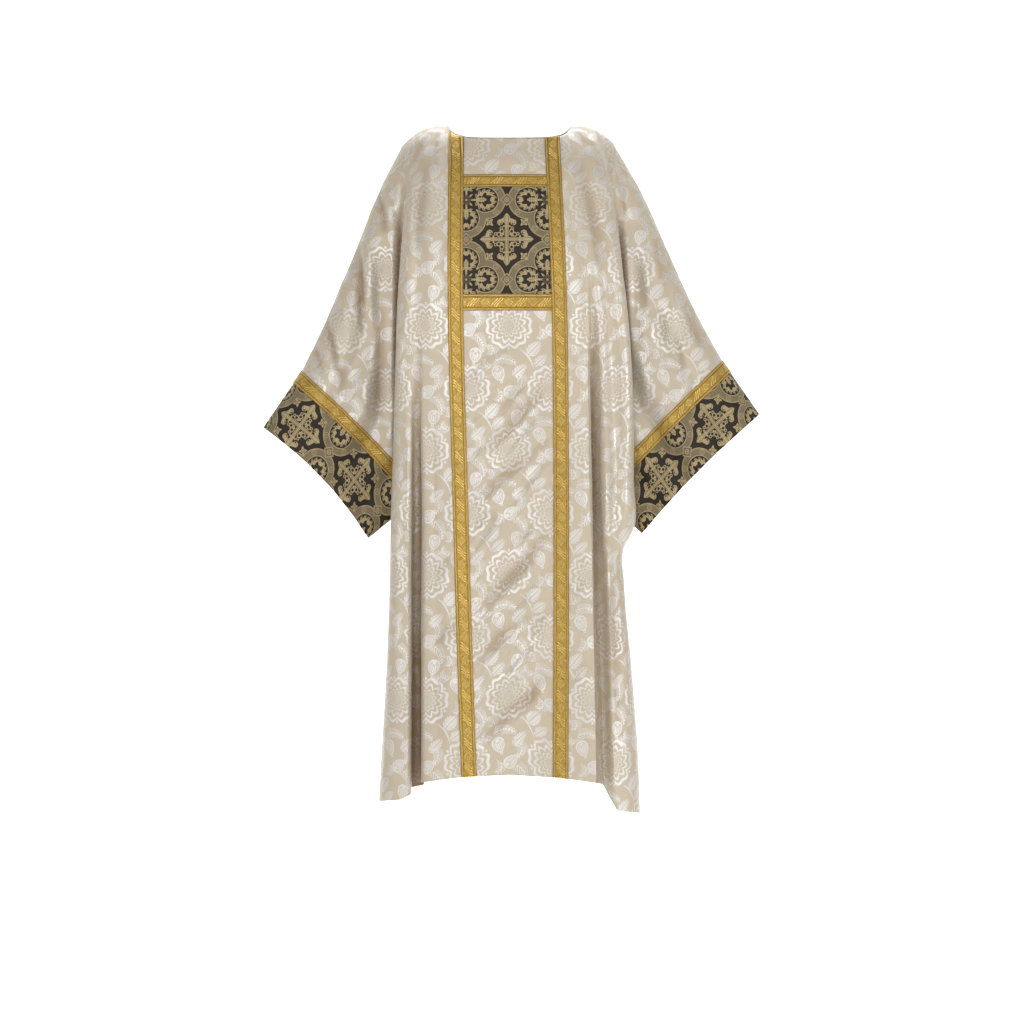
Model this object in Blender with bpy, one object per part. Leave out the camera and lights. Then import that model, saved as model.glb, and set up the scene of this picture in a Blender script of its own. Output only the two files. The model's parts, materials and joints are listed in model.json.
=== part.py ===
"""Dalmatic: a knee-length vestment with wide sleeves, in the form it takes when worn.

Metres, +Z up. The front faces -Y and the wearer's left is at +X. The origin lies midway
between the two neck points, where the garment rests on the shoulders. Every piece is cut
from cloth and is one closed wall: the body panels, sleeves and cuffs meet at their seams,
and the galloons and the chest panel lie on the cloth that carries them.

Heights are given as drops: metres below the neck points.
"""

import bpy
import numpy as np

# Cloth
WALL = 0.002            # damask with its lining
TRIM_WALL = 0.0012      # galloon and applied brocade
SEAM_GAP = 0.0003       # between pieces, and between a trim and its ground
SHARP_EDGE = np.radians(40)

# A rim's faces are split from the end that is lower along this way, alike on both pieces.
RIM_SPLIT = np.array((0.37, 0.11, 1.0))

# Neck and shoulders
NECK_HALF_WIDTH = 0.115
NECK_POINT_DROP = 0.003
FRONT_NECK_SINK = 0.036     # how far the front neckline lies below the neck points
BACK_NECK_SINK = 0.010
NECK_SQUARENESS = 6         # exponent of the neckline's rounded corners
SHOULDER_HALF_WIDTH = 0.203
SHOULDER_FALL = 0.038       # from neck point to shoulder point
SHOULDER_CURVE = 2.6        # exponent of the shoulder line's fall
SHOULDER_ROUND = 0.11       # drop over which the shoulder turns down into the front

# Levels
NECKLINE_DROP = NECK_POINT_DROP + FRONT_NECK_SINK
CHEST_TRIM_TOP = 0.110
CHEST_PANEL_TOP = 0.134
CHEST_PANEL_BOTTOM = 0.334
CHEST_TRIM_BOTTOM = 0.365
UNDERARM_DROP = 0.665
HEM_DROP = 1.219            # at the centre of the front

# The outermost line of the body lies at this share of the way from centre to side seam.
OUTLINE_SHARE = 0.84

# Exponent of the body's section: flatter over the chest than at the shoulders.
ARCH_AT_TOP = 0.9
ARCH_BELOW = 0.5
ARCH_LEVELS = (0.08, 0.30)

# Body: half width to the wearer's right and left, and depth to the front and back.
BODY = np.array((
    # drop,  right,  left,   front,  back
    (0.000, 0.160, 0.154, 0.076, 0.062),
    (0.040, 0.174, 0.168, 0.088, 0.086),
    (0.090, 0.186, 0.183, 0.111, 0.104),
    (0.156, 0.193, 0.195, 0.127, 0.120),
    (0.240, 0.200, 0.208, 0.139, 0.130),
    (0.342, 0.207, 0.218, 0.145, 0.136),
    (0.528, 0.214, 0.231, 0.149, 0.139),
    (0.677, 0.218, 0.234, 0.153, 0.144),
    (0.766, 0.221, 0.232, 0.157, 0.149),
    (0.796, 0.222, 0.215, 0.159, 0.151),
    (0.850, 0.223, 0.217, 0.162, 0.155),
    (0.975, 0.229, 0.229, 0.169, 0.164),
    (1.087, 0.236, 0.239, 0.176, 0.171),
    (1.199, 0.242, 0.245, 0.184, 0.178),
    (1.300, 0.248, 0.247, 0.190, 0.184),
))

# Armhole seam down to the underarm, then the side seam: distance from the middle, and
# how far the seam stands forward and back of the middle plane.
SEAM = np.array((
    # drop,  right,  left,   depth
    (0.000, 0.203, 0.197, 0.055),
    (0.080, 0.202, 0.197, 0.055),
    (0.130, 0.190, 0.188, 0.055),
    (0.220, 0.178, 0.178, 0.050),
    (0.350, 0.165, 0.166, 0.045),
    (0.500, 0.151, 0.151, 0.036),
    (0.600, 0.140, 0.139, 0.020),
    (0.665, 0.135, 0.134, 0.000),
    (0.750, 0.147, 0.146, 0.000),
    (0.830, 0.160, 0.158, 0.000),
    (0.975, 0.176, 0.176, 0.000),
    (1.100, 0.189, 0.190, 0.000),
    (1.300, 0.208, 0.208, 0.000),
))

# Drop of the hem, by the share of the way from the centre (0) to a side seam (-1 right, 1 left).
HEM_FRONT = np.array((
    (-1.00, 1.272), (-0.84, 1.277), (-0.51, 1.268), (-0.46, 1.258), (-0.40, 1.236),
    (-0.20, 1.224), (0.00, 1.219), (0.20, 1.225), (0.42, 1.238), (0.45, 1.262),
    (0.51, 1.289), (0.84, 1.299), (1.00, 1.290),
))
HEM_BACK = np.array((
    (-1.00, 1.272), (-0.84, 1.276), (-0.45, 1.266), (-0.20, 1.252), (0.00, 1.248),
    (0.20, 1.254), (0.45, 1.268), (0.84, 1.290), (1.00, 1.290),
))

# Lines that run down the cloth: across it at five levels, with the parts up to the next line.
LINE_DROPS = (0.04, 0.33, 0.68, 0.83, 1.24)
LINES = (
    # name,                 parts, neck,     chest,    waist,    hip,      hem
    ("right_fold_outer",    2, (-0.1500, -0.1800, -0.1890, -0.1890, -0.1880)),
    ("right_fold",          2, (-0.1400, -0.1690, -0.1760, -0.1760, -0.1750)),
    ("right_fold_inner",    1, (-0.1300, -0.1540, -0.1570, -0.1560, -0.1550)),
    ("right_neck",          1, (-0.1170, -0.1330, -0.1300, -0.1270, -0.1200)),
    ("right_band_outer",    2, (-0.1123, -0.1132, -0.1049, -0.1007, -0.0868)),
    ("right_band_inner",    8, (-0.0838, -0.0847, -0.0764, -0.0722, -0.0583)),
    ("left_band_inner",     2, (0.0664, 0.0783, 0.0821, 0.0823, 0.0803)),
    ("left_band_outer",     1, (0.0949, 0.1068, 0.1106, 0.1108, 0.1088)),
    ("left_neck",           1, (0.1170, 0.1270, 0.1310, 0.1330, 0.1370)),
    ("left_fold_edge",      1, (0.1300, 0.1470, 0.1520, 0.1570, 0.1670)),
    ("left_fold",           2, (0.1370, 0.1550, 0.1600, 0.1660, 0.1770)),
    ("left_hollow",         2, (0.1500, 0.1830, 0.1990, 0.1930, 0.2100)),
)
SIDE_SHARES = (1.0, 0.70, 0.35)     # columns between a side seam (1) and the outline (0)
OUTLINE_PARTS = 2                   # between an outline and the first line inside it

# Folds: troughs that follow a line, from where they start to where they reach full depth.
FRONT_FOLDS = (
    # line,          starts, full,  inner,  outer,  depth at hem, fades above hem
    ("right_fold",    0.40, 0.84, 0.024, 0.016, 0.043, False),
    ("left_fold",     0.20, 0.74, 0.012, 0.022, 0.030, False),
    ("left_hollow",   0.10, 0.34, 0.024, 0.024, 0.012, True),
)
BACK_FOLDS = (
    ("right_fold",    0.36, 0.90, 0.026, 0.030, 0.022, False),
    ("left_fold",     0.30, 0.84, 0.026, 0.032, 0.020, False),
)
FOLD_FADE = (0.70, 0.84)            # drops between which a fading fold runs out

# Rows of the body panels, by their drop at the centre of the front.
ROW_DROPS = (
    NECKLINE_DROP, 0.050, 0.066, 0.086, CHEST_TRIM_TOP, CHEST_PANEL_TOP, 0.172, 0.212,
    0.252, 0.294, CHEST_PANEL_BOTTOM, CHEST_TRIM_BOTTOM, 0.410, 0.460, 0.510, 0.555,
    0.597, 0.634, UNDERARM_DROP, 0.712, 0.764, 0.797, 0.850, 0.904, 0.958, 1.012,
    1.066, 1.118, 1.169, HEM_DROP,
)
TOP_BLEND = 0.10        # depth over which the rows turn from the neckline to level

# Sleeves: the upper line over the arm and the lower line under it, as (out, drop) from
# the middle, by stage. Stage 0 is the armhole, 1 the upper edge of the galloon, 2 the hem.
SLEEVE_STAGES = (0.0, 0.16, 0.42, 0.71, 1.0, 2.0)
SLEEVE_TOP = {
    "right": ((0.203, 0.041), (0.245, 0.124), (0.291, 0.238), (0.344, 0.364),
              (0.394, 0.469), (0.467, 0.576)),
    "left": ((0.197, 0.035), (0.247, 0.121), (0.297, 0.231), (0.352, 0.351),
             (0.4055, 0.4495), (0.476, 0.551)),
}
SLEEVE_UNDER = {
    "right": ((0.135, 0.665), (0.139, 0.671), (0.146, 0.680), (0.155, 0.691),
              (0.163, 0.702), (0.267, 0.787)),
    "left": ((0.134, 0.665), (0.139, 0.670), (0.147, 0.677), (0.157, 0.686),
             (0.166, 0.694), (0.252, 0.778)),
}
SLEEVE_BOW = {"right": 0.016, "left": 0.008}    # cuff hem's rise at mid height
CUFF_SEAM_STAGE = 1.11
GALLOON_END_STAGE = 1.22
SLEEVE_RINGS = (0.0, 0.10, 0.20, 0.31, 0.43, 0.56, 0.70, 0.85, 1.0, CUFF_SEAM_STAGE)
CUFF_RINGS = (CUFF_SEAM_STAGE, GALLOON_END_STAGE, 1.48, 1.74, 2.0)
SLEEVE_HALF_DEPTH = 0.054       # over the arm
ARM_ROUND = 0.20                # share of the ring that turns over the arm
UNDER_ROUND = 0.16              # share of the ring that turns at its lower fold
SLEEVE_NARROWING = 0.40         # how much flatter the ring is at its foot
NARROWING_START = 0.3           # share of the way down from which it narrows
SETTLED_STAGE = 0.7             # where the ring has lost the armhole's curve
BOW_START_STAGE = 0.2           # where the hem's rise begins

# Troughs down the sleeve: share around from the top at armhole and hem, half width, depth
SLEEVE_FOLDS = (
    (0.24, 0.36, 0.10, 0.008),
    (0.50, 0.62, 0.12, 0.012),
    (0.76, 0.84, 0.09, 0.007),
)


def curve(at, places, values):
    """Smooth line through the given points (cubic Hermite), held level beyond the ends."""
    places = np.asarray(places, float)
    values = np.asarray(values, float)
    slopes = np.gradient(values, places)
    at = np.clip(at, places[0], places[-1])
    i = np.clip(np.searchsorted(places, at) - 1, 0, len(places) - 2)
    step = places[i + 1] - places[i]
    u = (at - places[i]) / step
    return (values[i] * (1 + 2 * u) * (1 - u) ** 2
            + slopes[i] * step * u * (1 - u) ** 2
            + values[i + 1] * u ** 2 * (3 - 2 * u)
            + slopes[i + 1] * step * u ** 2 * (u - 1))


def ease(value, start, end):
    """0 before start, 1 after end, smooth between."""
    u = np.clip((value - start) / (end - start), 0.0, 1.0)
    return u * u * (3 - 2 * u)


def bell(distance, inner, outer):
    """Raised cosine, 1 at distance 0, with its own half width on each side."""
    width = np.where(distance < 0, inner, outer)
    return np.where(np.abs(distance) < width, 0.5 + 0.5 * np.cos(np.pi * distance / width), 0.0)


# Body panels

def neck_share(x):
    """1 along the straight of the neckline, falling to 0 at the neck points."""
    inside = np.clip(1 - (np.abs(x) / NECK_HALF_WIDTH) ** NECK_SQUARENESS, 0.0, 1.0)
    return np.sqrt(inside)


def top_drop(x, sink):
    """Drop of a panel's upper edge: the shoulder seams and the neckline between them."""
    out = np.clip((np.abs(x) - NECK_HALF_WIDTH) / (SHOULDER_HALF_WIDTH - NECK_HALF_WIDTH), 0, 1)
    return NECK_POINT_DROP + SHOULDER_FALL * out ** SHOULDER_CURVE + sink * neck_share(x)


def column_positions(drop):
    """x of every column at a row, with each column's share between centre and side seam."""
    across, shares = [], []
    named = [curve(drop, LINE_DROPS, row[2]) for row in LINES]
    outline = {side: curve(drop, BODY[:, 0], BODY[:, col]) for side, col in ((-1, 1), (1, 2))}
    seam = {side: curve(drop, SEAM[:, 0], SEAM[:, col]) for side, col in ((-1, 1), (1, 2))}
    stops = [-outline[-1]] + named + [outline[1]]
    parts = [OUTLINE_PARTS] + [row[1] for row in LINES[:-1]] + [OUTLINE_PARTS]

    for turn in SIDE_SHARES:
        across.append(-(outline[-1] + (seam[-1] - outline[-1]) * ease(turn, 0, 1)))
        shares.append(-(OUTLINE_SHARE + (1 - OUTLINE_SHARE) * turn))
    for start, end, count in zip(stops[:-1], stops[1:], parts):
        for i in range(count):
            x = start + (end - start) * i / count
            across.append(x)
            limit = outline[-1] if x < 0 else outline[1]
            angle = np.arcsin(np.clip(x / limit, -1, 1))
            shares.append(OUTLINE_SHARE * angle / (np.pi / 2))
    across.append(outline[1])
    shares.append(OUTLINE_SHARE)
    for turn in reversed(SIDE_SHARES):
        across.append(outline[1] + (seam[1] - outline[1]) * ease(turn, 0, 1))
        shares.append(OUTLINE_SHARE + (1 - OUTLINE_SHARE) * turn)
    return np.array(across), np.array(shares)


def body_panel(facing):
    """Points of the front (facing -1) or back (facing 1), as rows down and columns across."""
    sink = FRONT_NECK_SINK if facing < 0 else BACK_NECK_SINK
    hem = HEM_FRONT if facing < 0 else HEM_BACK
    depth_column = 3 if facing < 0 else 4
    rows = []
    for nominal in ROW_DROPS:
        x, share = column_positions(nominal)
        edge = top_drop(x, sink)
        top_pull = np.clip(1 - (nominal - NECKLINE_DROP) / TOP_BLEND, 0, 1) ** 2
        hem_pull = ease(nominal, UNDERARM_DROP, HEM_DROP)
        hem_drop = np.interp(share, hem[:, 0], hem[:, 1])
        drop = nominal + (edge - NECKLINE_DROP) * top_pull + (hem_drop - HEM_DROP) * hem_pull
        below = np.clip((drop - edge) / SHOULDER_ROUND, 0, 1)
        turned = np.sqrt(1 - (1 - below) ** 2)
        straight = neck_share(x)
        roundness = ARCH_AT_TOP + (ARCH_BELOW - ARCH_AT_TOP) * ease(nominal, *ARCH_LEVELS)
        full = curve(nominal, BODY[:, 0], BODY[:, depth_column])
        seam_depth = curve(nominal, SEAM[:, 0], SEAM[:, 3])
        seam_depth = seam_depth if nominal < UNDERARM_DROP else 0.0
        arch = np.cos(np.pi / 2 * np.abs(share)).clip(0) ** roundness
        depth = (seam_depth + (full - seam_depth) * arch) * (straight + (1 - straight) * turned)
        rows.append(np.stack((x, facing * depth, -drop), axis=1))
    points = np.array(rows)
    return fold_panel(points, facing, FRONT_FOLDS if facing < 0 else BACK_FOLDS)


def fold_panel(points, facing, folds):
    """Sink the folds straight back into a panel."""
    steps = np.linalg.norm(np.diff(points[:, :, :2], axis=1), axis=2)
    girth = np.concatenate((np.zeros((len(points), 1)), np.cumsum(steps, axis=1)), axis=1)
    drop = np.array(ROW_DROPS)
    for line, starts, full, inner, outer, depth, fades in folds:
        column = line_column(line)
        away = girth - girth[:, column:column + 1]
        if points[0, column, 0] < 0:
            away = -away
        strength = ease(drop, starts, full)
        if fades:
            strength = strength * (1 - ease(drop, *FOLD_FADE))
        points[:, :, 1] -= facing * depth * strength[:, None] * bell(away, inner, outer)
    return points


def line_column(name):
    """Index of the column that a named line runs down."""
    column = len(SIDE_SHARES) + OUTLINE_PARTS
    for line, parts, _ in LINES:
        if line == name:
            return column
        column += parts
    raise KeyError(name)


# Sleeves

def sleeve_rings(side, stages, front, back):
    """Closed rings around a sleeve, each from the shoulder down the front and up the back."""
    sign = -1 if side == "right" else 1
    column = 0 if sign < 0 else -1
    last = ROW_DROPS.index(UNDERARM_DROP)
    armhole = np.concatenate((front[:last + 1, column], back[last - 1:0:-1, column]))
    shoulder, underarm = armhole[0], armhole[last]
    fall = (shoulder[2] - armhole[:, 2]) / (shoulder[2] - underarm[2])
    facing = np.where(np.arange(len(armhole)) <= last, -1.0, 1.0)
    top, under = np.array(SLEEVE_TOP[side]), np.array(SLEEVE_UNDER[side])
    chord = shoulder + (underarm - shoulder) * fall[:, None]

    rings = []
    for stage in stages:
        line = np.interp if stage > 1 else curve
        over = [line(stage, SLEEVE_STAGES, top[:, i]) for i in (0, 1)]
        foot = [line(stage, SLEEVE_STAGES, under[:, i]) for i in (0, 1)]
        start = np.array((sign * over[0], 0.0, -over[1]))
        end = np.array((sign * foot[0], 0.0, -foot[1]))
        ring = start + (end - start) * fall[:, None]
        settled = ease(stage, 0.0, SETTLED_STAGE)
        ring += (armhole - chord) * (1 - settled) * np.array((1, 0, 1))

        across = (end - start) / np.linalg.norm(end - start)
        inward = np.array((across[2], 0.0, -across[0])) * sign
        bow = SLEEVE_BOW[side] * ease(stage, BOW_START_STAGE, 2.0) * 4 * fall * (1 - fall)
        ring += inward * bow[:, None]

        depth = sleeve_depth(fall)
        for at_armhole, at_hem, width, sunk in SLEEVE_FOLDS:
            line = at_armhole + (at_hem - at_armhole) * stage / 2
            depth = depth - sunk * settled * bell(fall - line, width, width)
        ring[:, 1] = facing * (np.abs(armhole[:, 1]) * (1 - settled) + depth * settled)
        rings.append(ring)
    rings = np.array(rings)
    if stages[0] == 0.0:
        rings[0] = armhole
    return rings if sign < 0 else rings[:, ::-1]


def sleeve_depth(fall):
    """Half the depth of a sleeve ring, by the share of the way down it."""
    over_arm = np.sqrt(1 - (1 - np.clip(fall / ARM_ROUND, 0, 1)) ** 2)
    at_foot = np.sqrt(1 - np.clip((fall - 1 + UNDER_ROUND) / UNDER_ROUND, 0, 1) ** 2)
    flatness = 1 - SLEEVE_NARROWING * ease(fall, NARROWING_START, 1.0)
    return SLEEVE_HALF_DEPTH * flatness * over_arm * at_foot


# Walls

def triangles(rows, columns, closed):
    """Corner indices of a grid's faces, split alike in every layer so that none cross."""
    around = columns if closed else columns - 1
    for r in range(rows - 1):
        for c in range(around):
            d = (c + 1) % columns
            yield (r, c), (r + 1, c), (r + 1, d)
            yield (r, c), (r + 1, d), (r, d)


def place_key(point):
    return tuple(int(round(value * 1e5)) for value in point)


def shared_normals(sheets):
    """Normals of all sheets together, so that pieces turn alike where they are sewn."""
    totals = {}
    for points, closed, flipped in sheets:
        for corners in triangles(points.shape[0], points.shape[1], closed):
            a, b, c = (points[corner] for corner in corners)
            normal = np.cross(b - a, c - a) * (-1 if flipped else 1)
            length = np.linalg.norm(normal)
            for corner in (a, b, c):
                key = place_key(corner)
                totals[key] = totals.get(key, 0) + normal / length
    results = []
    for points, _, _ in sheets:
        normals = np.array([[totals[place_key(p)] for p in row] for row in points])
        results.append(normals / np.linalg.norm(normals, axis=2, keepdims=True))
    return results


def drawn_in(points, closed):
    """The grid with its free edges moved half a seam gap into the piece."""
    moved = points.copy()
    half = SEAM_GAP / 2
    ends = [((0, slice(None)), (1, slice(None))), ((-1, slice(None)), (-2, slice(None)))]
    if not closed:
        ends += [((slice(None), 0), (slice(None), 1)), ((slice(None), -1), (slice(None), -2))]
    for edge, inside in ends:
        step = points[inside] - points[edge]
        moved[edge] += half * step / np.linalg.norm(step, axis=-1, keepdims=True)
    return moved


def wall(name, points, normals, outer, inner, closed, flipped, material):
    """One closed solid between two offsets of a grid."""
    rows, columns = points.shape[:2]
    ground = drawn_in(points, closed)
    outside = (ground + normals * outer).reshape(-1, 3)
    inside = (ground + normals * inner).reshape(-1, 3)
    count = rows * columns
    faces = []
    for corners in triangles(rows, columns, closed):
        face = [r * columns + c for r, c in corners]
        faces.append(face[::-1] if flipped else face)
        back_face = [i + count for i in face]
        faces.append(back_face if flipped else back_face[::-1])
    for start, end in rim_edges(rows, columns, closed):
        a, b = (r * columns + c for r, c in (start, end))
        a_in, b_in = a + count, b + count
        if points[start] @ RIM_SPLIT < points[end] @ RIM_SPLIT:
            rim = ((a, b, b_in), (a, b_in, a_in))
        else:
            rim = ((a, b, a_in), (b, b_in, a_in))
        faces += [face[::-1] if flipped else face for face in rim]
    mesh = bpy.data.meshes.new(name)
    mesh.from_pydata(np.concatenate((outside, inside)).tolist(), [], faces)
    mesh.materials.append(material)
    mesh.shade_smooth()
    mesh.set_sharp_from_angle(angle=SHARP_EDGE)
    piece = bpy.data.objects.new(name, mesh)
    bpy.context.collection.objects.link(piece)
    return piece


def rim_edges(rows, columns, closed):
    """Edges along which the outer layer is joined to the inner one, ordered to face out."""
    around = columns if closed else columns - 1
    for c in range(around):
        d = (c + 1) % columns
        yield (0, c), (0, d)
        yield (rows - 1, d), (rows - 1, c)
    if closed:
        return
    last = columns - 1
    for r in range(rows - 1):
        yield (r + 1, 0), (r, 0)
        yield (r, last), (r + 1, last)


def cloth_material(name, colour, roughness, metallic):
    material = bpy.data.materials.new(name)
    material.use_nodes = True
    surface = material.node_tree.nodes["Principled BSDF"]
    surface.inputs["Base Color"].default_value = (*colour, 1.0)
    surface.inputs["Roughness"].default_value = roughness
    surface.inputs["Metallic"].default_value = metallic
    return material


def trim(name, points, normals, closed, flipped, material):
    """A flat trim that lies on the cloth whose points it is made from."""
    wall(name, points, normals, SEAM_GAP + TRIM_WALL, SEAM_GAP, closed, flipped, material)


def main():
    for old in list(bpy.data.objects):
        bpy.data.objects.remove(old, do_unlink=True)

    damask = cloth_material("cream_damask", (0.66, 0.60, 0.49), 0.5, 0.0)
    galloon = cloth_material("gold_galloon", (0.47, 0.31, 0.07), 0.42, 0.35)
    brocade = cloth_material("dark_brocade", (0.07, 0.055, 0.04), 0.55, 0.0)

    front, back = body_panel(-1), body_panel(1)
    sleeves = {side: sleeve_rings(side, SLEEVE_RINGS, front, back) for side in SLEEVE_TOP}
    cuffs = {side: sleeve_rings(side, CUFF_RINGS, front, back) for side in SLEEVE_TOP}
    sides = list(SLEEVE_TOP)
    sheets = [(front, False, False), (back, False, True)]
    sheets += [(sleeves[side], True, False) for side in sides]
    sheets += [(cuffs[side], True, False) for side in sides]
    front_out, back_out, *ring_out = shared_normals(sheets)

    wall("front_panel", front, front_out, 0.0, -WALL, False, False, damask)
    wall("back_panel", back, back_out, 0.0, -WALL, False, True, damask)
    for i, side in enumerate(sides):
        sleeve_out, cuff_out = ring_out[i], ring_out[i + len(sides)]
        wall("sleeve_" + side, sleeves[side], sleeve_out, 0.0, -WALL, True, False, damask)
        wall("cuff_" + side, cuffs[side], cuff_out, 0.0, -WALL, True, False, brocade)
        ring = np.concatenate((sleeves[side][-2:], cuffs[side][1:2]))
        ring_normals = np.concatenate((sleeve_out[-2:], cuff_out[1:2]))
        trim("sleeve_galloon_" + side, ring, ring_normals, True, False, galloon)

        outer, inner = line_column(side + "_band_outer"), line_column(side + "_band_inner")
        band = slice(min(outer, inner), max(outer, inner) + 1)
        trim("front_galloon_" + side, front[:, band], front_out[:, band], False, False, galloon)
        trim("back_galloon_" + side, back[:, band], back_out[:, band], False, True, galloon)

    chest = slice(line_column("right_band_inner"), line_column("left_band_inner") + 1)
    levels = [ROW_DROPS.index(drop) for drop in
              (CHEST_TRIM_TOP, CHEST_PANEL_TOP, CHEST_PANEL_BOTTOM, CHEST_TRIM_BOTTOM)]
    names = ("chest_galloon_top", "chest_panel", "chest_galloon_bottom")
    for name, upper, lower in zip(names, levels[:-1], levels[1:]):
        rows = slice(upper, lower + 1)
        material = brocade if name == "chest_panel" else galloon
        trim(name, front[rows, chest], front_out[rows, chest], False, False, material)


main()
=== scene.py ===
"""Looks of the dalmatic: silk damask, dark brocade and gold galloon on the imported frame.

Metres, +Z up, front towards -Y, the wearer's left at +X, origin between the neck points.
Heights are drops: metres below the neck points.
"""
import json
import bpy
import numpy as np
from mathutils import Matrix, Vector, noise

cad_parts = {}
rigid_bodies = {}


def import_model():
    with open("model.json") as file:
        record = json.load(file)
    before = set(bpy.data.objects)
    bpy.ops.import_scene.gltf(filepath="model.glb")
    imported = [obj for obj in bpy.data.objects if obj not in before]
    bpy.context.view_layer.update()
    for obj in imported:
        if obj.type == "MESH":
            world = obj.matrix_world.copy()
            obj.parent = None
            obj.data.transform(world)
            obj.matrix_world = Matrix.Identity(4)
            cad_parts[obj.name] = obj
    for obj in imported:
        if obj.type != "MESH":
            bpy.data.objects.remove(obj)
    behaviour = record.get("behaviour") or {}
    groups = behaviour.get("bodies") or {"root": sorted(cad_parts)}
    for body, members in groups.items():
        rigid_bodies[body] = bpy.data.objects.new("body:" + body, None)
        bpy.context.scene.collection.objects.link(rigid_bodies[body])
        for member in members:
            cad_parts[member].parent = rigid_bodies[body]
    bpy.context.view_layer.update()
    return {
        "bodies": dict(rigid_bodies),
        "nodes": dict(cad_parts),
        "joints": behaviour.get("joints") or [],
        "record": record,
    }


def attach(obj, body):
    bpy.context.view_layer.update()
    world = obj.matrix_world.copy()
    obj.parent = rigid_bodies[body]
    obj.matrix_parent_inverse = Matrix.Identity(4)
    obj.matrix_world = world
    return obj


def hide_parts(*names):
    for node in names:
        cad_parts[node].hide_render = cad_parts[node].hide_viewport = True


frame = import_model()


# Front and back: one width of lined silk damask each, joined at the shoulders, the
# armholes and the side seams. The cloth hangs from the shoulders in deep side pipes,
# with a knife-edged fold beside the left band and a soft trough beside the right one.

CLOTH = 0.0018
SEAM_GAP = 0.0003
NECK_HALF_WIDTH = 0.115
NECK_POINT_DROP = 0.003
FRONT_NECK_SINK = 0.036
BACK_NECK_SINK = 0.010
NECK_SQUARENESS = 6
SHOULDER_HALF_WIDTH = 0.203
SHOULDER_FALL = 0.038
SHOULDER_CURVE = 2.6    # how late the shoulder seam starts to fall
SHOULDER_ROUND = 0.11
NECKLINE_DROP = NECK_POINT_DROP + FRONT_NECK_SINK
CHEST_TRIM_TOP = 0.110
CHEST_PANEL_TOP = 0.134
CHEST_PANEL_BOTTOM = 0.334
CHEST_TRIM_BOTTOM = 0.365
UNDERARM_DROP = 0.665
HEM_DROP = 1.219
OUTLINE_SHARE = 0.84
TOP_BLEND = 0.10

# Half width to the wearer's right and left, and depth to the front and back.
BODY = np.array((
    # drop,  right,  left,   front,  back
    (0.000, 0.160, 0.154, 0.076, 0.062),
    (0.040, 0.174, 0.168, 0.088, 0.086),
    (0.090, 0.186, 0.183, 0.111, 0.104),
    (0.156, 0.193, 0.195, 0.127, 0.120),
    (0.240, 0.200, 0.208, 0.139, 0.130),
    (0.342, 0.207, 0.218, 0.145, 0.136),
    (0.528, 0.214, 0.231, 0.149, 0.139),
    (0.677, 0.218, 0.234, 0.153, 0.144),
    (0.766, 0.221, 0.232, 0.157, 0.149),
    (0.796, 0.222, 0.215, 0.159, 0.151),
    (0.850, 0.223, 0.217, 0.162, 0.155),
    (0.975, 0.229, 0.229, 0.169, 0.164),
    (1.087, 0.236, 0.239, 0.176, 0.171),
    (1.199, 0.242, 0.245, 0.184, 0.178),
    (1.300, 0.248, 0.247, 0.190, 0.184),
))
# Armhole down to the underarm, then the side seam: distance out, and depth either way.
SEAM = np.array((
    # drop,  right,  left,   depth
    (0.000, 0.203, 0.197, 0.055),
    (0.080, 0.202, 0.197, 0.055),
    (0.130, 0.190, 0.188, 0.055),
    (0.220, 0.178, 0.178, 0.050),
    (0.350, 0.165, 0.166, 0.045),
    (0.500, 0.151, 0.151, 0.036),
    (0.600, 0.140, 0.139, 0.020),
    (0.665, 0.135, 0.134, 0.000),
    (0.750, 0.147, 0.146, 0.000),
    (0.830, 0.160, 0.158, 0.000),
    (0.975, 0.176, 0.176, 0.000),
    (1.100, 0.189, 0.190, 0.000),
    (1.300, 0.208, 0.208, 0.000),
))
# Drop of the hem, by the share of the way from the centre to the side seams.
HEM_FRONT = np.array((
    (-1.00, 1.272), (-0.84, 1.277), (-0.51, 1.268), (-0.46, 1.258), (-0.40, 1.236),
    (-0.20, 1.224), (0.00, 1.219), (0.20, 1.225), (0.42, 1.238), (0.45, 1.262),
    (0.51, 1.289), (0.84, 1.299), (1.00, 1.290),
))
HEM_BACK = np.array((
    (-1.00, 1.272), (-0.84, 1.276), (-0.45, 1.266), (-0.20, 1.252), (0.00, 1.248),
    (0.20, 1.254), (0.45, 1.268), (0.84, 1.290), (1.00, 1.290),
))
# Lines that run down the cloth, across it at five drops, with the parts to the next line.
LINE_DROPS = (0.04, 0.33, 0.68, 0.83, 1.24)
LINES = (
    # name,                 parts, neck,     chest,    waist,    hip,      hem
    ("right_fold_outer",    2, (-0.1500, -0.1800, -0.1890, -0.1890, -0.1880)),
    ("right_fold",          2, (-0.1400, -0.1690, -0.1760, -0.1760, -0.1750)),
    ("right_fold_inner",    1, (-0.1300, -0.1540, -0.1570, -0.1560, -0.1550)),
    ("right_neck",          1, (-0.1170, -0.1330, -0.1300, -0.1270, -0.1200)),
    ("right_band_outer",    2, (-0.1123, -0.1132, -0.1049, -0.1007, -0.0868)),
    ("right_band_inner",    8, (-0.0838, -0.0847, -0.0764, -0.0722, -0.0583)),
    ("left_band_inner",     2, (0.0664, 0.0783, 0.0821, 0.0823, 0.0803)),
    ("left_band_outer",     1, (0.0949, 0.1068, 0.1106, 0.1108, 0.1088)),
    ("left_neck",           1, (0.1170, 0.1270, 0.1310, 0.1330, 0.1370)),
    ("left_fold_edge",      1, (0.1300, 0.1470, 0.1520, 0.1570, 0.1670)),
    ("left_fold",           2, (0.1370, 0.1550, 0.1600, 0.1660, 0.1770)),
    ("left_hollow",         2, (0.1500, 0.1830, 0.1990, 0.1930, 0.2100)),
)
SIDE_SHARES = (1.0, 0.70, 0.35, 0.0)
OUTLINE_PARTS = 2
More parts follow.
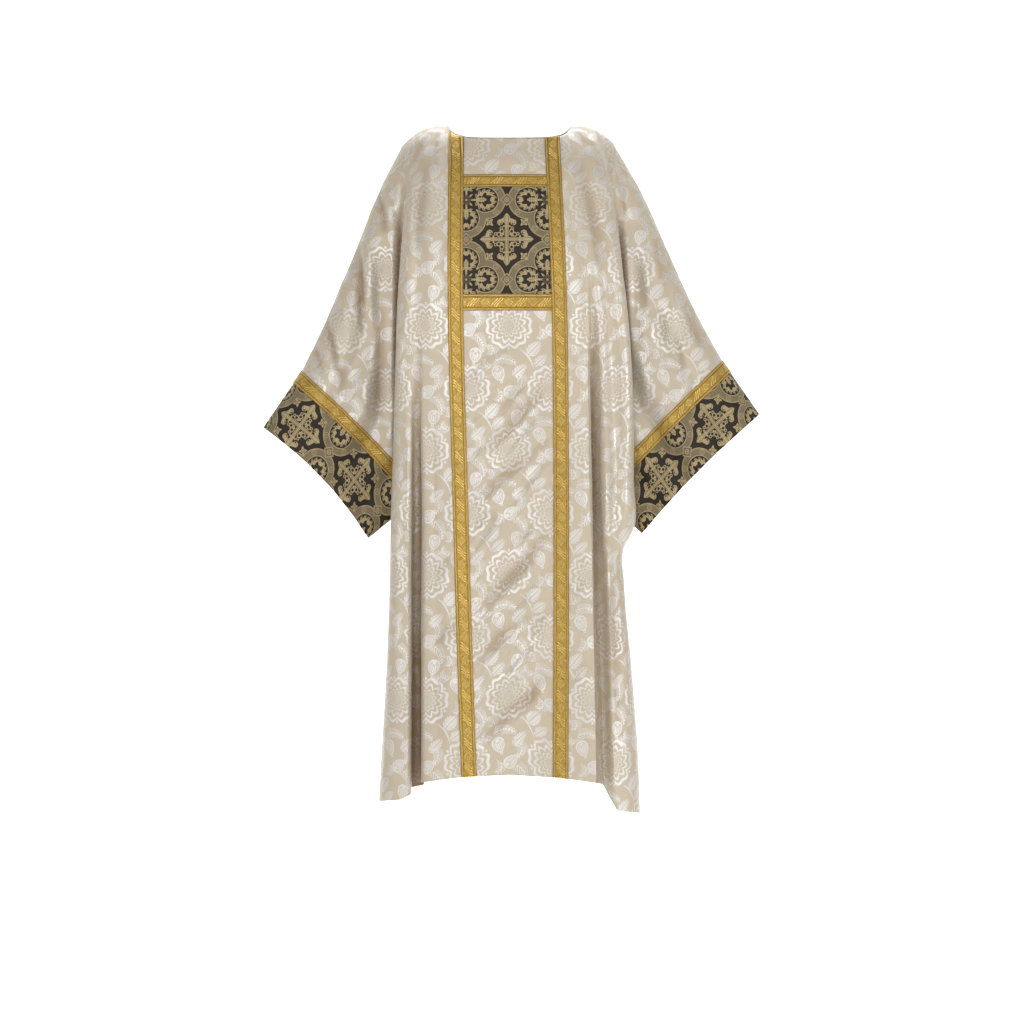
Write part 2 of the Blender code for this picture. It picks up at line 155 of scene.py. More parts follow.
ROW_DROPS = (
    NECKLINE_DROP, 0.050, 0.066, 0.086, CHEST_TRIM_TOP, CHEST_PANEL_TOP, 0.172, 0.212,
    0.252, 0.294, CHEST_PANEL_BOTTOM, CHEST_TRIM_BOTTOM, 0.410, 0.460, 0.510, 0.555,
    0.597, 0.634, UNDERARM_DROP, 0.712, 0.764, 0.797, 0.850, 0.904, 0.958, 1.012,
    1.066, 1.118, 1.169, HEM_DROP,
)
FINE = 4        # columns of the worked cloth to each of the frame
FINE_DOWN = 8   # and its rows

# Main folds: line, where it starts, where it is full, half widths, depth, fades by the hip
FRONT_FOLDS = (
    ("right_fold",    0.40, 0.84, 0.024, 0.016, 0.043, False),
    ("left_fold",     0.20, 0.74, 0.012, 0.022, 0.030, False),
    ("left_hollow",   0.10, 0.34, 0.024, 0.024, 0.012, True),
)
BACK_FOLDS = (
    ("right_fold",    0.36, 0.90, 0.026, 0.030, 0.022, False),
    ("left_fold",     0.30, 0.84, 0.026, 0.032, 0.020, False),
)
FOLD_FADE = (0.70, 0.84)


def finer(stops, parts=FINE_DOWN):
    """The stops with each gap between them cut into equal parts."""
    steps = np.arange(len(stops) - 1)[:, None] + np.arange(parts)[None, :] / parts
    places = np.append(steps.ravel(), len(stops) - 1)
    return np.interp(places, np.arange(len(stops)), stops)


def curve(at, places, values):
    """Smooth line through the given points (cubic Hermite), held level beyond the ends."""
    places = np.asarray(places, float)
    values = np.asarray(values, float)
    slopes = np.gradient(values, places)
    at = np.clip(at, places[0], places[-1])
    i = np.clip(np.searchsorted(places, at) - 1, 0, len(places) - 2)
    step = places[i + 1] - places[i]
    u = (at - places[i]) / step
    return (values[i] * (1 + 2 * u) * (1 - u) ** 2
            + slopes[i] * step * u * (1 - u) ** 2
            + values[i + 1] * u ** 2 * (3 - 2 * u)
            + slopes[i + 1] * step * u ** 2 * (u - 1))


def ease(value, start, end):
    """0 before start, 1 after end, smooth between."""
    u = np.clip((value - start) / (end - start), 0.0, 1.0)
    return u * u * (3 - 2 * u)


def bell(distance, inner, outer):
    """Raised cosine, 1 at distance 0, with its own half width on each side."""
    width = np.where(distance < 0, inner, outer)
    return np.where(np.abs(distance) < width, 0.5 + 0.5 * np.cos(np.pi * distance / width), 0.0)


def neck_share(x):
    """1 along the straight of the neckline, falling to 0 at the neck points."""
    inside = np.clip(1 - (np.abs(x) / NECK_HALF_WIDTH) ** NECK_SQUARENESS, 0.0, 1.0)
    return np.sqrt(inside)


def top_drop(x, sink):
    """Drop of a panel's upper edge: the shoulder seams and the neckline between them."""
    out = np.clip((np.abs(x) - NECK_HALF_WIDTH) / (SHOULDER_HALF_WIDTH - NECK_HALF_WIDTH), 0, 1)
    return NECK_POINT_DROP + SHOULDER_FALL * out ** SHOULDER_CURVE + sink * neck_share(x)


def column_positions(drop):
    """x of every column at a row, with each column's share between centre and side seam."""
    right, left = (curve(drop, BODY[:, 0], BODY[:, i]) for i in (1, 2))
    seam_right, seam_left = (curve(drop, SEAM[:, 0], SEAM[:, i]) for i in (1, 2))
    stops = [-right] + [curve(drop, LINE_DROPS, places) for _, _, places in LINES] + [left]
    parts = [OUTLINE_PARTS] + [count for _, count, _ in LINES[:-1]] + [OUTLINE_PARTS]
    middle = np.concatenate([start + (end - start) * np.arange(count * FINE) / (count * FINE)
                             for start, end, count in zip(stops, stops[1:], parts)] + [[left]])
    turns = finer(SIDE_SHARES, FINE)[:-1]
    turned = ease(turns, 0, 1)
    across = (-(right + (seam_right - right) * turned), middle,
              (left + (seam_left - left) * turned)[::-1])
    reach = np.arcsin(np.clip(middle / np.where(middle < 0, right, left), -1, 1)) / (np.pi / 2)
    beyond = OUTLINE_SHARE + (1 - OUTLINE_SHARE) * turns
    shares = (-beyond, OUTLINE_SHARE * reach, beyond[::-1])
    return np.concatenate(across), np.concatenate(shares)


def line_column(name):
    """Index of the column that a named line runs down."""
    column = len(SIDE_SHARES) - 1 + OUTLINE_PARTS
    for line, parts, _ in LINES:
        if line == name:
            return column * FINE
        column += parts
    raise KeyError(name)


def row_at(drop):
    """Index of the fine row at one of the named drops."""
    return ROW_DROPS.index(drop) * FINE_DOWN


def body_panel(facing):
    """Points of the front (facing -1) or back (facing 1), as rows down and columns across."""
    sink = FRONT_NECK_SINK if facing < 0 else BACK_NECK_SINK
    hem = HEM_FRONT if facing < 0 else HEM_BACK
    depth_column = 3 if facing < 0 else 4
    rows = []
    for nominal in finer(ROW_DROPS):
        x, share = column_positions(nominal)
        edge = top_drop(x, sink)
        top_pull = np.clip(1 - (nominal - NECKLINE_DROP) / TOP_BLEND, 0, 1) ** 2
        hem_pull = ease(nominal, UNDERARM_DROP, HEM_DROP)
        hem_drop = np.interp(share, hem[:, 0], hem[:, 1])
        drop = nominal + (edge - NECKLINE_DROP) * top_pull + (hem_drop - HEM_DROP) * hem_pull
        below = np.clip((drop - edge) / SHOULDER_ROUND, 0, 1)
        turned = np.sqrt(1 - (1 - below) ** 2)
        straight = neck_share(x)
        roundness = 0.9 - 0.4 * ease(nominal, 0.08, 0.30)
        full = curve(nominal, BODY[:, 0], BODY[:, depth_column])
        seam_depth = curve(nominal, SEAM[:, 0], SEAM[:, 3]) if nominal < UNDERARM_DROP else 0.0
        arch = np.cos(np.pi / 2 * np.abs(share)).clip(0) ** roundness
        depth = (seam_depth + (full - seam_depth) * arch) * (straight + (1 - straight) * turned)
        rows.append(np.stack((x, facing * depth, -drop), axis=1))
    return fold_panel(np.array(rows), facing, FRONT_FOLDS if facing < 0 else BACK_FOLDS)


def run_lengths(points, axis):
    """Length along a grid, from its first row (axis 0) or its first column (axis 1)."""
    steps = np.linalg.norm(np.diff(points, axis=axis), axis=2)
    return np.insert(np.cumsum(steps, axis=axis), 0, 0.0, axis=axis)


def fold_panel(points, facing, folds):
    """Sink the main folds straight back into a panel."""
    girth = run_lengths(points[:, :, :2], 1)
    drop = finer(ROW_DROPS)
    for line, starts, full, inner, outer, depth, fades in folds:
        column = line_column(line)
        away = girth - girth[:, column:column + 1]
        if points[0, column, 0] < 0:
            away = -away
        strength = ease(drop, starts, full)
        if fades:
            strength = strength * (1 - ease(drop, *FOLD_FADE))
        points[:, :, 1] -= facing * depth * strength[:, None] * bell(away, inner, outer)
    return points


# Creases and ridges listed in millimetres: half width and height of each, then x
# and drop of every point along it
MM = 0.001
FRONT_CREASES = (
    (5, -2.6, -131, 20, -136, 55, -142, 85),
    (7, -4, -148, 20, -168, 55, -190, 105),
    (6, 2.6, -172, 30, -184, 55, -193, 85),
    (11, -5, -157, 75, -168, 170, -172, 250),
    (12, 3.6, -150, 200, -146, 330, -150, 460),
    (9, 4, -186, 150, -184, 280, -187, 420),
    (4, -2.2, -139, 560, -136, 700, -131, 900),
    (9, -2.6, -128, 900, -130, 1050, -128, 1200),
    (14, 4, -205, 640, -206, 800, -208, 1100),
    (5.5, -8.5, -166.5, 400, -171.5, 620, -172.5, 850, -172.5, 1600),
    (6, -11, -172.5, 960, -172.5, 1180, -172.5, 1640),
    (6, 6, -184.5, 480, -185.5, 650, -185.5, 850, -185.5, 1600),
    (7, 5.2, 122, 14, 155, 45, 173, 80, 184, 135, 197, 180),
    (6, -3.6, 138, 22, 162, 62, 180, 120, 190, 190),
    (13, -6.2, 131, 75, 150, 140, 164, 215, 172, 280),
    (12, 3, 127, 240, 132, 340, 133, 460),
    (5, -2.4, 190, 60, 188, 90, 186, 120),
    (5, 5, 144, 300, 148, 600, 155, 1020, 164, 1600),
    (5, -8.5, 154, 300, 158, 600, 165, 1020, 174, 1600),
    (9, 3.6, 214, 300, 222, 460, 224, 640),
    (12, -4.6, 196, 820, 200, 950, 208, 1160),
    (10, 3, 178, 560, 180, 700, 178, 860),
    (8, 4.1, -70, 505, -30, 462, 20, 430),
    (6, -4.6, -20, 560, 10, 520, 34, 495),
    (8, -6.8, -45, 625, 0, 585, 30, 545, 74, 500),
    (8, 5.4, -10, 650, 36, 600, 76, 560),
    (5, 3.5, -68, 650, -50, 625, -30, 612),
    (5, -3.8, 34, 640, 56, 616, 78, 602),
    (8, -6.5, -62, 725, -12, 672, 40, 630),
    (8, 5.9, 0, 745, 44, 692, 78, 640),
    (9, 5.1, -66, 835, -30, 782, 10, 745),
    (5, -3.8, -68, 770, -44, 748, -20, 738),
    (9, -8.6, -52, 925, -10, 870, 26, 835, 78, 770),
    (5, -3.5, 6, 800, 30, 776, 52, 764),
    (9, 6.5, -10, 965, 38, 905, 78, 850),
    (6, -4.3, 40, 960, 60, 936, 78, 924),
    (10, -6.8, -58, 1015, -10, 962, 40, 925),
    (6, 3.8, -60, 960, -40, 945, -20, 940),
    (10, 5.7, -30, 1085, 26, 1015, 76, 960),
    (8, -4.9, 24, 1100, 50, 1060, 74, 1040),
    (11, -5.9, -50, 1165, 0, 1105, 60, 1060),
    (6, -4.1, -140, 860, -118, 830, -104, 822),
    (7, -4.6, -142, 990, -116, 955, -96, 944),
    (8, 4.1, -130, 1090, -110, 1055, -92, 1046),
    (6, -3.8, 116, 900, 132, 872, 148, 862),
    (7, -4.1, 114, 1060, 132, 1030, 152, 1020),
)
BACK_CREASES = (
    (8, -4, -140, 30, -164, 80, -182, 150),
    (8, -4.2, 136, 30, 160, 80, 178, 150),
    (12, 4.4, -160, 120, -166, 240, -168, 360),
    (12, 4.4, 156, 120, 166, 240, 170, 380),
    (20, 4, -40, 420, -36, 760, -40, 1150),
    (18, -4, 30, 380, 34, 700, 36, 1180),
    (12, -3.6, -130, 500, -132, 800, -128, 1180),
    (12, -3.6, 138, 520, 140, 820, 140, 1180),
    (14, 4, -206, 640, -208, 860, -214, 1150),
    (14, 4, 206, 640, 208, 860, 214, 1150),
)
CREASE_FADE = 0.012     # no crease crosses a seam
UNEVENNESS = 0.0016     # soft waves that run down all hanging cloth
PAINTED_SHADE_DEPTH = 0.012    # a crease this deep is painted in full shade
BAND_CALM = 0.7         # share of every crease that a sewn band holds flat
BAND_REACH = 0.03
SHARP_TURN = np.radians(55)


def crease_heights(across, drop, creases):
    """Height of all creases at the given places: a soft ridge or trough along each line."""
    height = np.zeros(across.shape)
    for width, rise, *line in creases:
        line = np.array(line).reshape(-1, 2) * MM
        pieces = len(line) - 1
        nearest = np.full(across.shape, 1e9)
        along = np.zeros(across.shape)
        for i, (start, end) in enumerate(zip(line[:-1], line[1:])):
            way = end - start
            u = (across - start[0]) * way[0] + (drop - start[1]) * way[1]
            u = np.clip(u / (way @ way), 0, 1)
            away = np.hypot(across - start[0] - u * way[0], drop - start[1] - u * way[1])
            closer = away < nearest
            nearest = np.where(closer, away, nearest)
            along = np.where(closer, (i + u) / pieces, along)
        profile = np.exp(-(nearest / (width * MM)) ** 2)
        height += rise * MM * profile * np.sin(np.pi * along) ** 0.6
    return height


def unevenness(points, seed):
    """Soft waves, much longer down the cloth than across it."""
    flat = points.reshape(-1, 3)
    waves = [noise.noise(Vector((16 * p[0] + seed, 7 * p[1], 3.2 * p[2] + seed)))
             + 0.4 * noise.noise(Vector((44 * p[0] + seed, 20 * p[1], 10 * p[2]))) for p in flat]
    return UNEVENNESS * np.array(waves).reshape(points.shape[:2])


def edge_fade(points):
    """0 on a grid's edges, 1 a short way in from them."""
    from_top, from_left = run_lengths(points, 0), run_lengths(points, 1)
    sides = np.minimum(from_left, from_left[:, -1:] - from_left)
    return ease(from_top, 0, CREASE_FADE) * ease(sides, 0, CREASE_FADE)


def sheet_normals(sheets):
    """Normals of all sheets together, so that the pieces turn alike where they are sewn."""
    totals, places = [], []
    for points, closed, flipped in sheets:
        here = np.concatenate((points, points[:, :1]), axis=1) if closed else points
        a, b, c, d = here[:-1, :-1], here[1:, :-1], here[1:, 1:], here[:-1, 1:]
        faces = np.cross(c - a, d - b) * (-1 if flipped else 1)
        faces /= np.linalg.norm(faces, axis=2, keepdims=True) + 1e-12
        total = np.zeros(here.shape)
        total[:-1, :-1] += faces
        total[1:, :-1] += faces
        total[1:, 1:] += faces
        total[:-1, 1:] += faces
        if closed:
            total[:, 0] += total[:, -1]
            total = total[:, :-1]
        totals.append(total.reshape(-1, 3))
        places.append(points.reshape(-1, 3))
    keys = np.round(np.concatenate(places) * 1e5).astype(int)
    _, same = np.unique(keys, axis=0, return_inverse=True)
    same = same.ravel()
    added = np.zeros((same.max() + 1, 3))
    np.add.at(added, same, np.concatenate(totals))
    added /= np.linalg.norm(added, axis=1, keepdims=True)
    results, first = [], 0
    for points, _, _ in sheets:
        count = points.shape[0] * points.shape[1]
        results.append(added[same[first:first + count]].reshape(points.shape))
        first += count
    return results


def drawn_in(points, closed):
    """The grid with its free edges moved half a seam gap into the piece."""
    moved = points.copy()
    ends = [((0, slice(None)), (1, slice(None))), ((-1, slice(None)), (-2, slice(None)))]
    if not closed:
        ends += [((slice(None), 0), (slice(None), 1)), ((slice(None), -1), (slice(None), -2))]
    for edge, inside in ends:
        step = points[inside] - points[edge]
        moved[edge] += SEAM_GAP / 2 * step / np.linalg.norm(step, axis=-1, keepdims=True)
    return moved


def linked(name, data):
    """A new object in the scene."""
    thing = bpy.data.objects.new(name, data)
    bpy.context.collection.objects.link(thing)
    return thing


def cloth_wall(name, node, slot, material, points, normals, weave, outer=0.0, inner=-CLOTH,
               closed=False, flipped=False, painted_shade=None):
    """One closed wall of cloth between two offsets of a grid, in place of a CAD node."""
    rows, columns = points.shape[:2]
    count = rows * columns
    ground = drawn_in(points, closed)
    outside = (ground + normals * outer).reshape(-1, 3)
    inside = (ground + normals * inner).reshape(-1, 3)
    index = np.arange(count).reshape(rows, columns)
    if closed:
        index = np.concatenate((index, index[:, :1]), axis=1)
    a, b, c, d = index[:-1, :-1], index[1:, :-1], index[1:, 1:], index[:-1, 1:]
    faces = np.stack((a, b, c, d), axis=-1).reshape(-1, 4)
    rims = [(index[0, :-1], index[0, 1:]), (index[-1, 1:], index[-1, :-1])]
    if not closed:
        rims += [(index[1:, 0], index[:-1, 0]), (index[:-1, -1], index[1:, -1])]
    edges = np.concatenate([np.stack(rim, axis=1) for rim in rims])
    rim = np.stack((edges[:, 0], edges[:, 1], edges[:, 1] + count, edges[:, 0] + count), axis=1)
    every = np.concatenate((faces, faces[:, ::-1] + count, rim))
    if flipped:
        every = every[:, ::-1]
    mesh = bpy.data.meshes.new(name)
    mesh.from_pydata(np.concatenate((outside, inside)).tolist(), [], every.tolist())
    uv = mesh.uv_layers.new(name="weave")
    corners = np.zeros(len(mesh.loops), dtype=np.int32)
    mesh.loops.foreach_get("vertex_index", corners)
    uv.data.foreach_set("uv", weave.reshape(-1, 2)[corners % count].astype(np.float32).ravel())
    # Painted shade of the creases, kept on the mesh for the material to darken the cloth by.
    if painted_shade is not None:
        shade = mesh.attributes.new("painted_shade", "FLOAT", "POINT")
        shade.data.foreach_set("value", np.tile(painted_shade.ravel(), 2).astype(np.float32))
    mesh.materials.append(material)
    mesh.shade_smooth()
    mesh.set_sharp_from_angle(angle=SHARP_TURN)
    piece = linked(name, mesh)
    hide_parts(node)
    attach(piece, "root")
    return piece


def dressed_panel(facing, creases, seed):
    """A body panel with its creases, the points that every trim on it is made from too, and the
    painted shade of its creases.
    """
    points = body_panel(facing)
    normals = sheet_normals([(points, False, facing > 0)])[0]
    drop = -points[:, :, 2]
    relief = crease_heights(points[:, :, 0], drop, creases)
    # Painted shade: cloth in a crease is marked for darkening, in full where it sinks a set depth
    # or more.
    painted_shade = np.clip(-relief / PAINTED_SHADE_DEPTH, 0, 1)
    relief = relief + unevenness(points, seed)
    for side in ("right", "left"):
        edges = [line_column(side + "_band_outer"), line_column(side + "_band_inner")]
        middle = points[:, edges, 0].mean(axis=1, keepdims=True)
        relief *= 1 - BAND_CALM * bell(points[:, :, 0] - middle, BAND_REACH, BAND_REACH)
    return points + normals * (relief * edge_fade(points))[:, :, None], painted_shade


def panel_weave(points):
    """Where each point lies on the flat cloth: out from the centre, and down from the neck."""
    girth, length = run_lengths(points[:, :, :2], 1), run_lengths(points, 0)
    middle = [np.interp(0.0, row, run) for row, run in zip(points[:, :, 0], girth)]
    length += CHEST_PANEL_TOP - length[row_at(CHEST_PANEL_TOP)]
    return np.stack((girth - np.array(middle)[:, None], length), axis=2)


front, front_painted_shade = dressed_panel(-1, FRONT_CREASES, 3.0)
back, back_painted_shade = dressed_panel(1, BACK_CREASES, 11.0)


THREADS = 0.0007        # a woven edge blends across this much cloth


def add_node(tree, kind, inputs=(), **settings):
    """A node with its settings made, and each numbered or named input set or linked."""
    node = tree.nodes.new(kind)
    for setting, value in settings.items():
        setattr(node, setting, value)
    for place, value in dict(inputs).items():
        socket = node.inputs[place]
        if isinstance(value, Yarn):
            tree.links.new(value.socket, socket)
        else:
            socket.default_value = (*value, 1.0) if socket.type == "RGBA" else value
    return node


class Yarn:
    """A value in a node tree: arithmetic on it adds math nodes to the same tree."""

    def __init__(self, tree, socket):
        self.tree = tree
        self.socket = socket

    def worked(self, operation, *others, clamp=False):
        node = add_node(self.tree, "ShaderNodeMath", enumerate((self, *others)),
                        operation=operation, use_clamp=clamp)
        return Yarn(self.tree, node.outputs[0])

    def __add__(self, other):
        return self.worked("ADD", other)

    def __sub__(self, other):
        return self.worked("SUBTRACT", other)

    def __mul__(self, other):
        return self.worked("MULTIPLY", other)

    def __truediv__(self, other):
        return self.worked("DIVIDE", other)

    def __abs__(self):
        return self.worked("ABSOLUTE")

    def flipped(self):
        """1 minus the value."""
        return self.worked("MULTIPLY_ADD", -1.0, 1.0)

    def spread(self, scale, shift):
        """The value times scale plus shift, kept between 0 and 1."""
        return self.worked("MULTIPLY_ADD", scale, shift, clamp=True)

    def within(self, limit, soft=THREADS):
        """1 where the value is under the limit, 0 over it, blended across a few threads."""
        return ((self - limit) * (-1.0 / soft)).worked("ADD", 0.5, clamp=True)

    def near(self, line, half, soft=THREADS):
        """1 within half a stroke's width of the line."""
        return abs(self - line).within(half, soft)

    def also(self, other):
        return self.worked("MAXIMUM", other)

    def only(self, other):
        return self.worked("MULTIPLY", other)

    def wave(self, count, shift=0.0):
        """Cosine of count times the value, plus a shift."""
        return self.worked("MULTIPLY_ADD", count, shift).worked("COSINE")


def length_of(across, along):
    return (across * across + along * along).worked("SQRT")


def pattern_group(name, inputs, outputs, draw):
    """A node group that draws a woven pattern from the cloth's own measure, in metres."""
    group = bpy.data.node_groups.new(name, "ShaderNodeTree")
    for label in inputs.split():
        kind = "NodeSocketVector" if label == "Cloth" else "NodeSocketFloat"
        group.interface.new_socket(label, in_out="INPUT", socket_type=kind)
    for label in outputs.split():
        group.interface.new_socket(label, in_out="OUTPUT", socket_type="NodeSocketFloat")
    start, end = group.nodes.new("NodeGroupInput"), group.nodes.new("NodeGroupOutput")
    drawn = draw(group, *[Yarn(group, socket) for socket in start.outputs[:-1]])
    for label, value in zip(outputs.split(), drawn):
        group.links.new(value.socket, end.inputs[label])
    return group


def parts_of(group, vector):
    """Across and along of a vector."""
    split = add_node(group, "ShaderNodeSeparateXYZ", {0: vector})
    return Yarn(group, split.outputs[0]), Yarn(group, split.outputs[1])


def use_group(tree, group, *values):
    """Place a node group and return its outputs."""
    node = add_node(tree, "ShaderNodeGroup", enumerate(values), node_tree=group)
    return [Yarn(tree, socket) for socket in node.outputs]


def turned(x, y, cx, cy, cosine, sine):
    """The place seen from a motif's middle, along it and across it."""
    dx = x - cx
    dy = y - cy
    return dx * cosine + dy * sine, dy * cosine - dx * sine


def draw_leaf(group, x, y, cx, cy, cosine, sine, length, width):
    """A toothed leaf with a bare midrib, side veins and a bare line inside its edge."""
    along, across = turned(x, y, cx, cy, cosine, sine)
    share = along / length
    far = abs(across)
    full = (share * share).flipped() * (share * -0.28 + 1.0)
    teeth = (along - far * 0.9).wave(1050.0).worked("MULTIPLY_ADD", 0.17, 0.86)
    body = (far - full * width * teeth).within(0.0)
    rib = far.within(0.0008)
    contour = abs(far - full * width * 0.55).within(0.0004)
    veins = (along - far * 1.1).wave(1050.0).spread(1.4, -1.0)
    veins = veins.only((far - full * width * 0.48).within(0.0))
    return [body.only(rib.also(contour).also(veins).flipped())]


def draw_fern(group, x, y, cx, cy, cosine, sine, length, width):
    """A bowed stem with curled leaflets on both sides, shorter towards the tip."""
    along, across = turned(x, y, cx, cy, cosine, sine)
    share = along / length
    across = across - share * share * width * 0.7
    far = abs(across)
    half = (share.worked("MULTIPLY_ADD", -0.40, 0.95)) * width
    curled = along - far * 0.5 - far * far * 90.0
    leaflets = curled.wave(1150.0).spread(3.0, 0.0)
    inside = abs(share).within(1.0, 0.06)
    return [(far - half).within(0.0).only(leaflets).also(far.within(0.0011)).only(inside)]


def draw_bud(group, x, y, cx, cy, cosine, sine, length, width):
    """A swollen seed head: striped inside, with a bare contour, a small ring at its foot."""
    along, across = turned(x, y, cx, cy, cosine, sine)
    far = abs(across)
    share = along / length
    ring = length_of(share, across / width / (share * 0.22 + 0.94))
    head = ring.within(1.0, 0.07)
    contour = ring.near(0.74, 0.045, 0.05).only(share.within(0.72, 0.1))
    crown = abs(along - far * 0.9 - length * 0.18).within(0.0008).only(ring.within(0.78, 0.05))
    stripes = far.wave(1700.0).spread(-1.6, -0.6).only(ring.within(0.66, 0.05))
    stripes = stripes.only((along - far * 0.9 - length * 0.12).within(0.0))
    foot = length_of(along + length * 1.12, across)
    foot = foot.near(0.0020, 0.0008, 0.0005)
    return [head.only(contour.also(crown).also(stripes).flipped()).also(foot)]


def draw_stem(group, x, y, cx, cy, cosine, sine, length, width):
    """A bare bowed stem, thicker in its middle."""
    along, across = turned(x, y, cx, cy, cosine, sine)
    share = along / length
    across = across - (share * share).flipped() * width
    return [(abs(across) - (share * share).flipped() * 0.0014).within(0.0)]


MOTIF_PLACE = "x y cx cy cos sin length width"
leaf = pattern_group("woven_leaf", MOTIF_PLACE, "mask", draw_leaf)
fern = pattern_group("woven_fern", MOTIF_PLACE, "mask", draw_fern)
bud = pattern_group("woven_bud", MOTIF_PLACE, "mask", draw_bud)
stem = pattern_group("woven_stem", MOTIF_PLACE, "mask", draw_stem)

DAMASK_ACROSS = 0.155
DAMASK_ALONG = 0.231
DAMASK_ROSE_DROP = 0.395


def draw_half_drop(group, across, along, cx, cy):
    """The place within the repeat, measured from the nearest of half-drop centres."""
    a = (across - cx) / DAMASK_ACROSS
    b = (along - cy) / DAMASK_ALONG
    a = a - a.worked("ROUND")
    b = b - b.worked("ROUND")
    other = (abs(a) + abs(b)).worked("GREATER_THAN", 0.5) * 0.5
    return [(a - other * a.worked("SIGN")) * DAMASK_ACROSS,
            (b - other * b.worked("SIGN")) * DAMASK_ALONG]


half_drop = pattern_group("half_drop", "across along cx cy", "x y", draw_half_drop)

# Clusters of sprigs by their centre from a rose, as shares of the repeat, then in each:
# kind, across, along, turn in degrees, half length, half width
CLUSTERS = (
    ((0.0, 0.5), (
        (bud, -0.0190, -0.0270, -110, 0.0150, 0.0120),
        (bud, 0.0040, 0.0060, 145, 0.0140, 0.0122),
        (fern, -0.0060, -0.0540, 8, 0.0205, 0.0092),
        (leaf, 0.0200, -0.0330, -42, 0.0185, 0.0100),
        (fern, 0.0240, -0.0110, 100, 0.0150, 0.0092),
        (fern, 0.0270, 0.0290, 65, 0.0185, 0.0090),
        (fern, -0.0150, 0.0180, 125, 0.0110, 0.0084),
    )),
    ((0.25, 0.25), (
        (leaf, 0.0080, -0.0160, -48, 0.0200, 0.0122),
        (leaf, 0.0200, 0.0060, -42, 0.0175, 0.0092),
        (stem, -0.0070, 0.0040, 55, 0.0250, -0.0060),
    )),
    ((-0.25, 0.25), (
        (bud, -0.0240, -0.0040, -78, 0.0138, 0.0116),
        (fern, -0.0160, 0.0180, -45, 0.0110, 0.0084),
        (fern, -0.0060, 0.0150, -125, 0.0105, 0.0080),
        (fern, 0.0095, -0.0130, 96, 0.0095, 0.0105),
    )),
)


def draw_rose(group, x, y):
    """A round rose: six double-humped outer petals, then twelve rounded and pointed ones."""
    radius = length_of(x, y)
    angle = y.worked("ARCTAN2", x)
    six = abs(angle.wave(3)).worked("POWER", 0.55)
    twelve = abs(angle.wave(6, 1.5708))
    humps = angle.wave(12)
    outer = abs(radius - six * 0.0060 + humps * 0.0020 - 0.0343)
    outer = (outer - six * 0.0005 - angle.wave(60) * 0.0004).within(0.0023)
    middle = abs(radius - twelve * 0.0082 - 0.0224)
    middle = (middle - twelve * 0.0006).within(0.0019)
    third = abs(radius - twelve * 0.0062 - 0.0134).within(0.0012)
    fourth = abs(radius - twelve * 0.0032 - 0.0094).within(0.0007)
    heart = humps.only(radius.wave(2400.0)).spread(1.4, 0.1)
    heart = heart.only(radius.within(0.0082)) * 0.7
    buds = abs(angle.wave(3)).within(0.13, 0.06).only(radius.near(0.0412, 0.0026))
    return [outer.also(middle).also(third).also(fourth).also(heart).also(buds)]


rose = pattern_group("woven_rose", "x y", "mask", draw_rose)


def draw_damask(group, cloth):
    """Roses in half-drop rows with buds, leaves and ferns between them."""
    across, along = parts_of(group, cloth)
    x, y = use_group(group, half_drop, across, along, 0.0, DAMASK_ROSE_DROP)
    figure = use_group(group, rose, x, y)[0]
    for (over, down), sprigs in CLUSTERS:
        cx, cy = over * DAMASK_ACROSS, DAMASK_ROSE_DROP + down * DAMASK_ALONG
        x, y = use_group(group, half_drop, across, along, cx, cy)
        for kind, right, below, turn, length, width in sprigs:
            cosine, sine = np.cos(np.radians(turn)), np.sin(np.radians(turn))
            figure = figure.also(
                use_group(group, kind, x, y, right, below, cosine, sine, length, width)[0])
    return [figure]


damask_figure = pattern_group("damask_figure", "Cloth", "Figure", draw_damask)


def noise_at(group, vector, count, detail):
    """Soft random values, so many to a metre."""
    node = add_node(group, "ShaderNodeTexNoise",
                    {"Vector": vector, "Scale": count, "Detail": detail})
    return Yarn(group, node.outputs["Fac"])


def draw_slub(group, cloth, count):
    """Thread by thread unevenness of woven silk: fine streaks down and across the cloth."""
    total = None
    for stretch, share in (((1.0, 0.12, 0.0), 0.6), ((0.10, 1.0, 0.0), 0.4)):
        drawn_out = add_node(group, "ShaderNodeVectorMath", {0: cloth, 1: stretch},
                             operation="MULTIPLY")
        part = noise_at(group, Yarn(group, drawn_out.outputs[0]), count, 2.0) * share
        total = part if total is None else total + part
    return [total]


slub = pattern_group("silk_slub", "Cloth Count", "Streaks", draw_slub)

# Waves of the puckers: turn in degrees, stretch, count to a metre, height where the cloth
# hangs calm and what it gains where the front drags
PUCKERS = ((-47.0, 0.32, 80.0, 0.5, 6.5), (84.0, 0.35, 34.0, 3.0, 2.0))


def draw_pucker(group, cloth):
    """Small soft puckers of the lining, drawn out on the slant where the front drags."""
    across, along = parts_of(group, cloth)
    dragged = abs(across).within(0.075, 0.03).only(along.near(0.82, 0.37, 0.12))
    total = None
    for turn, stretch, count, calm, drag in PUCKERS:
        cosine, sine = np.cos(np.radians(turn)), np.sin(np.radians(turn))
        place = add_node(group, "ShaderNodeCombineXYZ",
                         {0: (across * cosine + along * sine) * stretch,
                          1: along * cosine - across * sine})
        waves = noise_at(group, Yarn(group, place.outputs[0]), count, 1.0)
        part = waves * (dragged * drag + calm)
        total = part if total is None else total + part
    return [total]


pucker = pattern_group("lining_pucker", "Cloth", "Height", draw_pucker)


def start_material(name):
    """A new material, its tree and its Principled surface."""
    material = bpy.data.materials.new(name)
    material.use_nodes = True
    return material, material.node_tree, material.node_tree.nodes["Principled BSDF"]


def start_cloth(name):
    """A new material for cloth, its tree, its surface and the cloth's own measure."""
    material, tree, surface = start_material(name)
    measure = add_node(tree, "ShaderNodeUVMap", uv_map="weave")
    return material, tree, surface, Yarn(tree, measure.outputs[0])


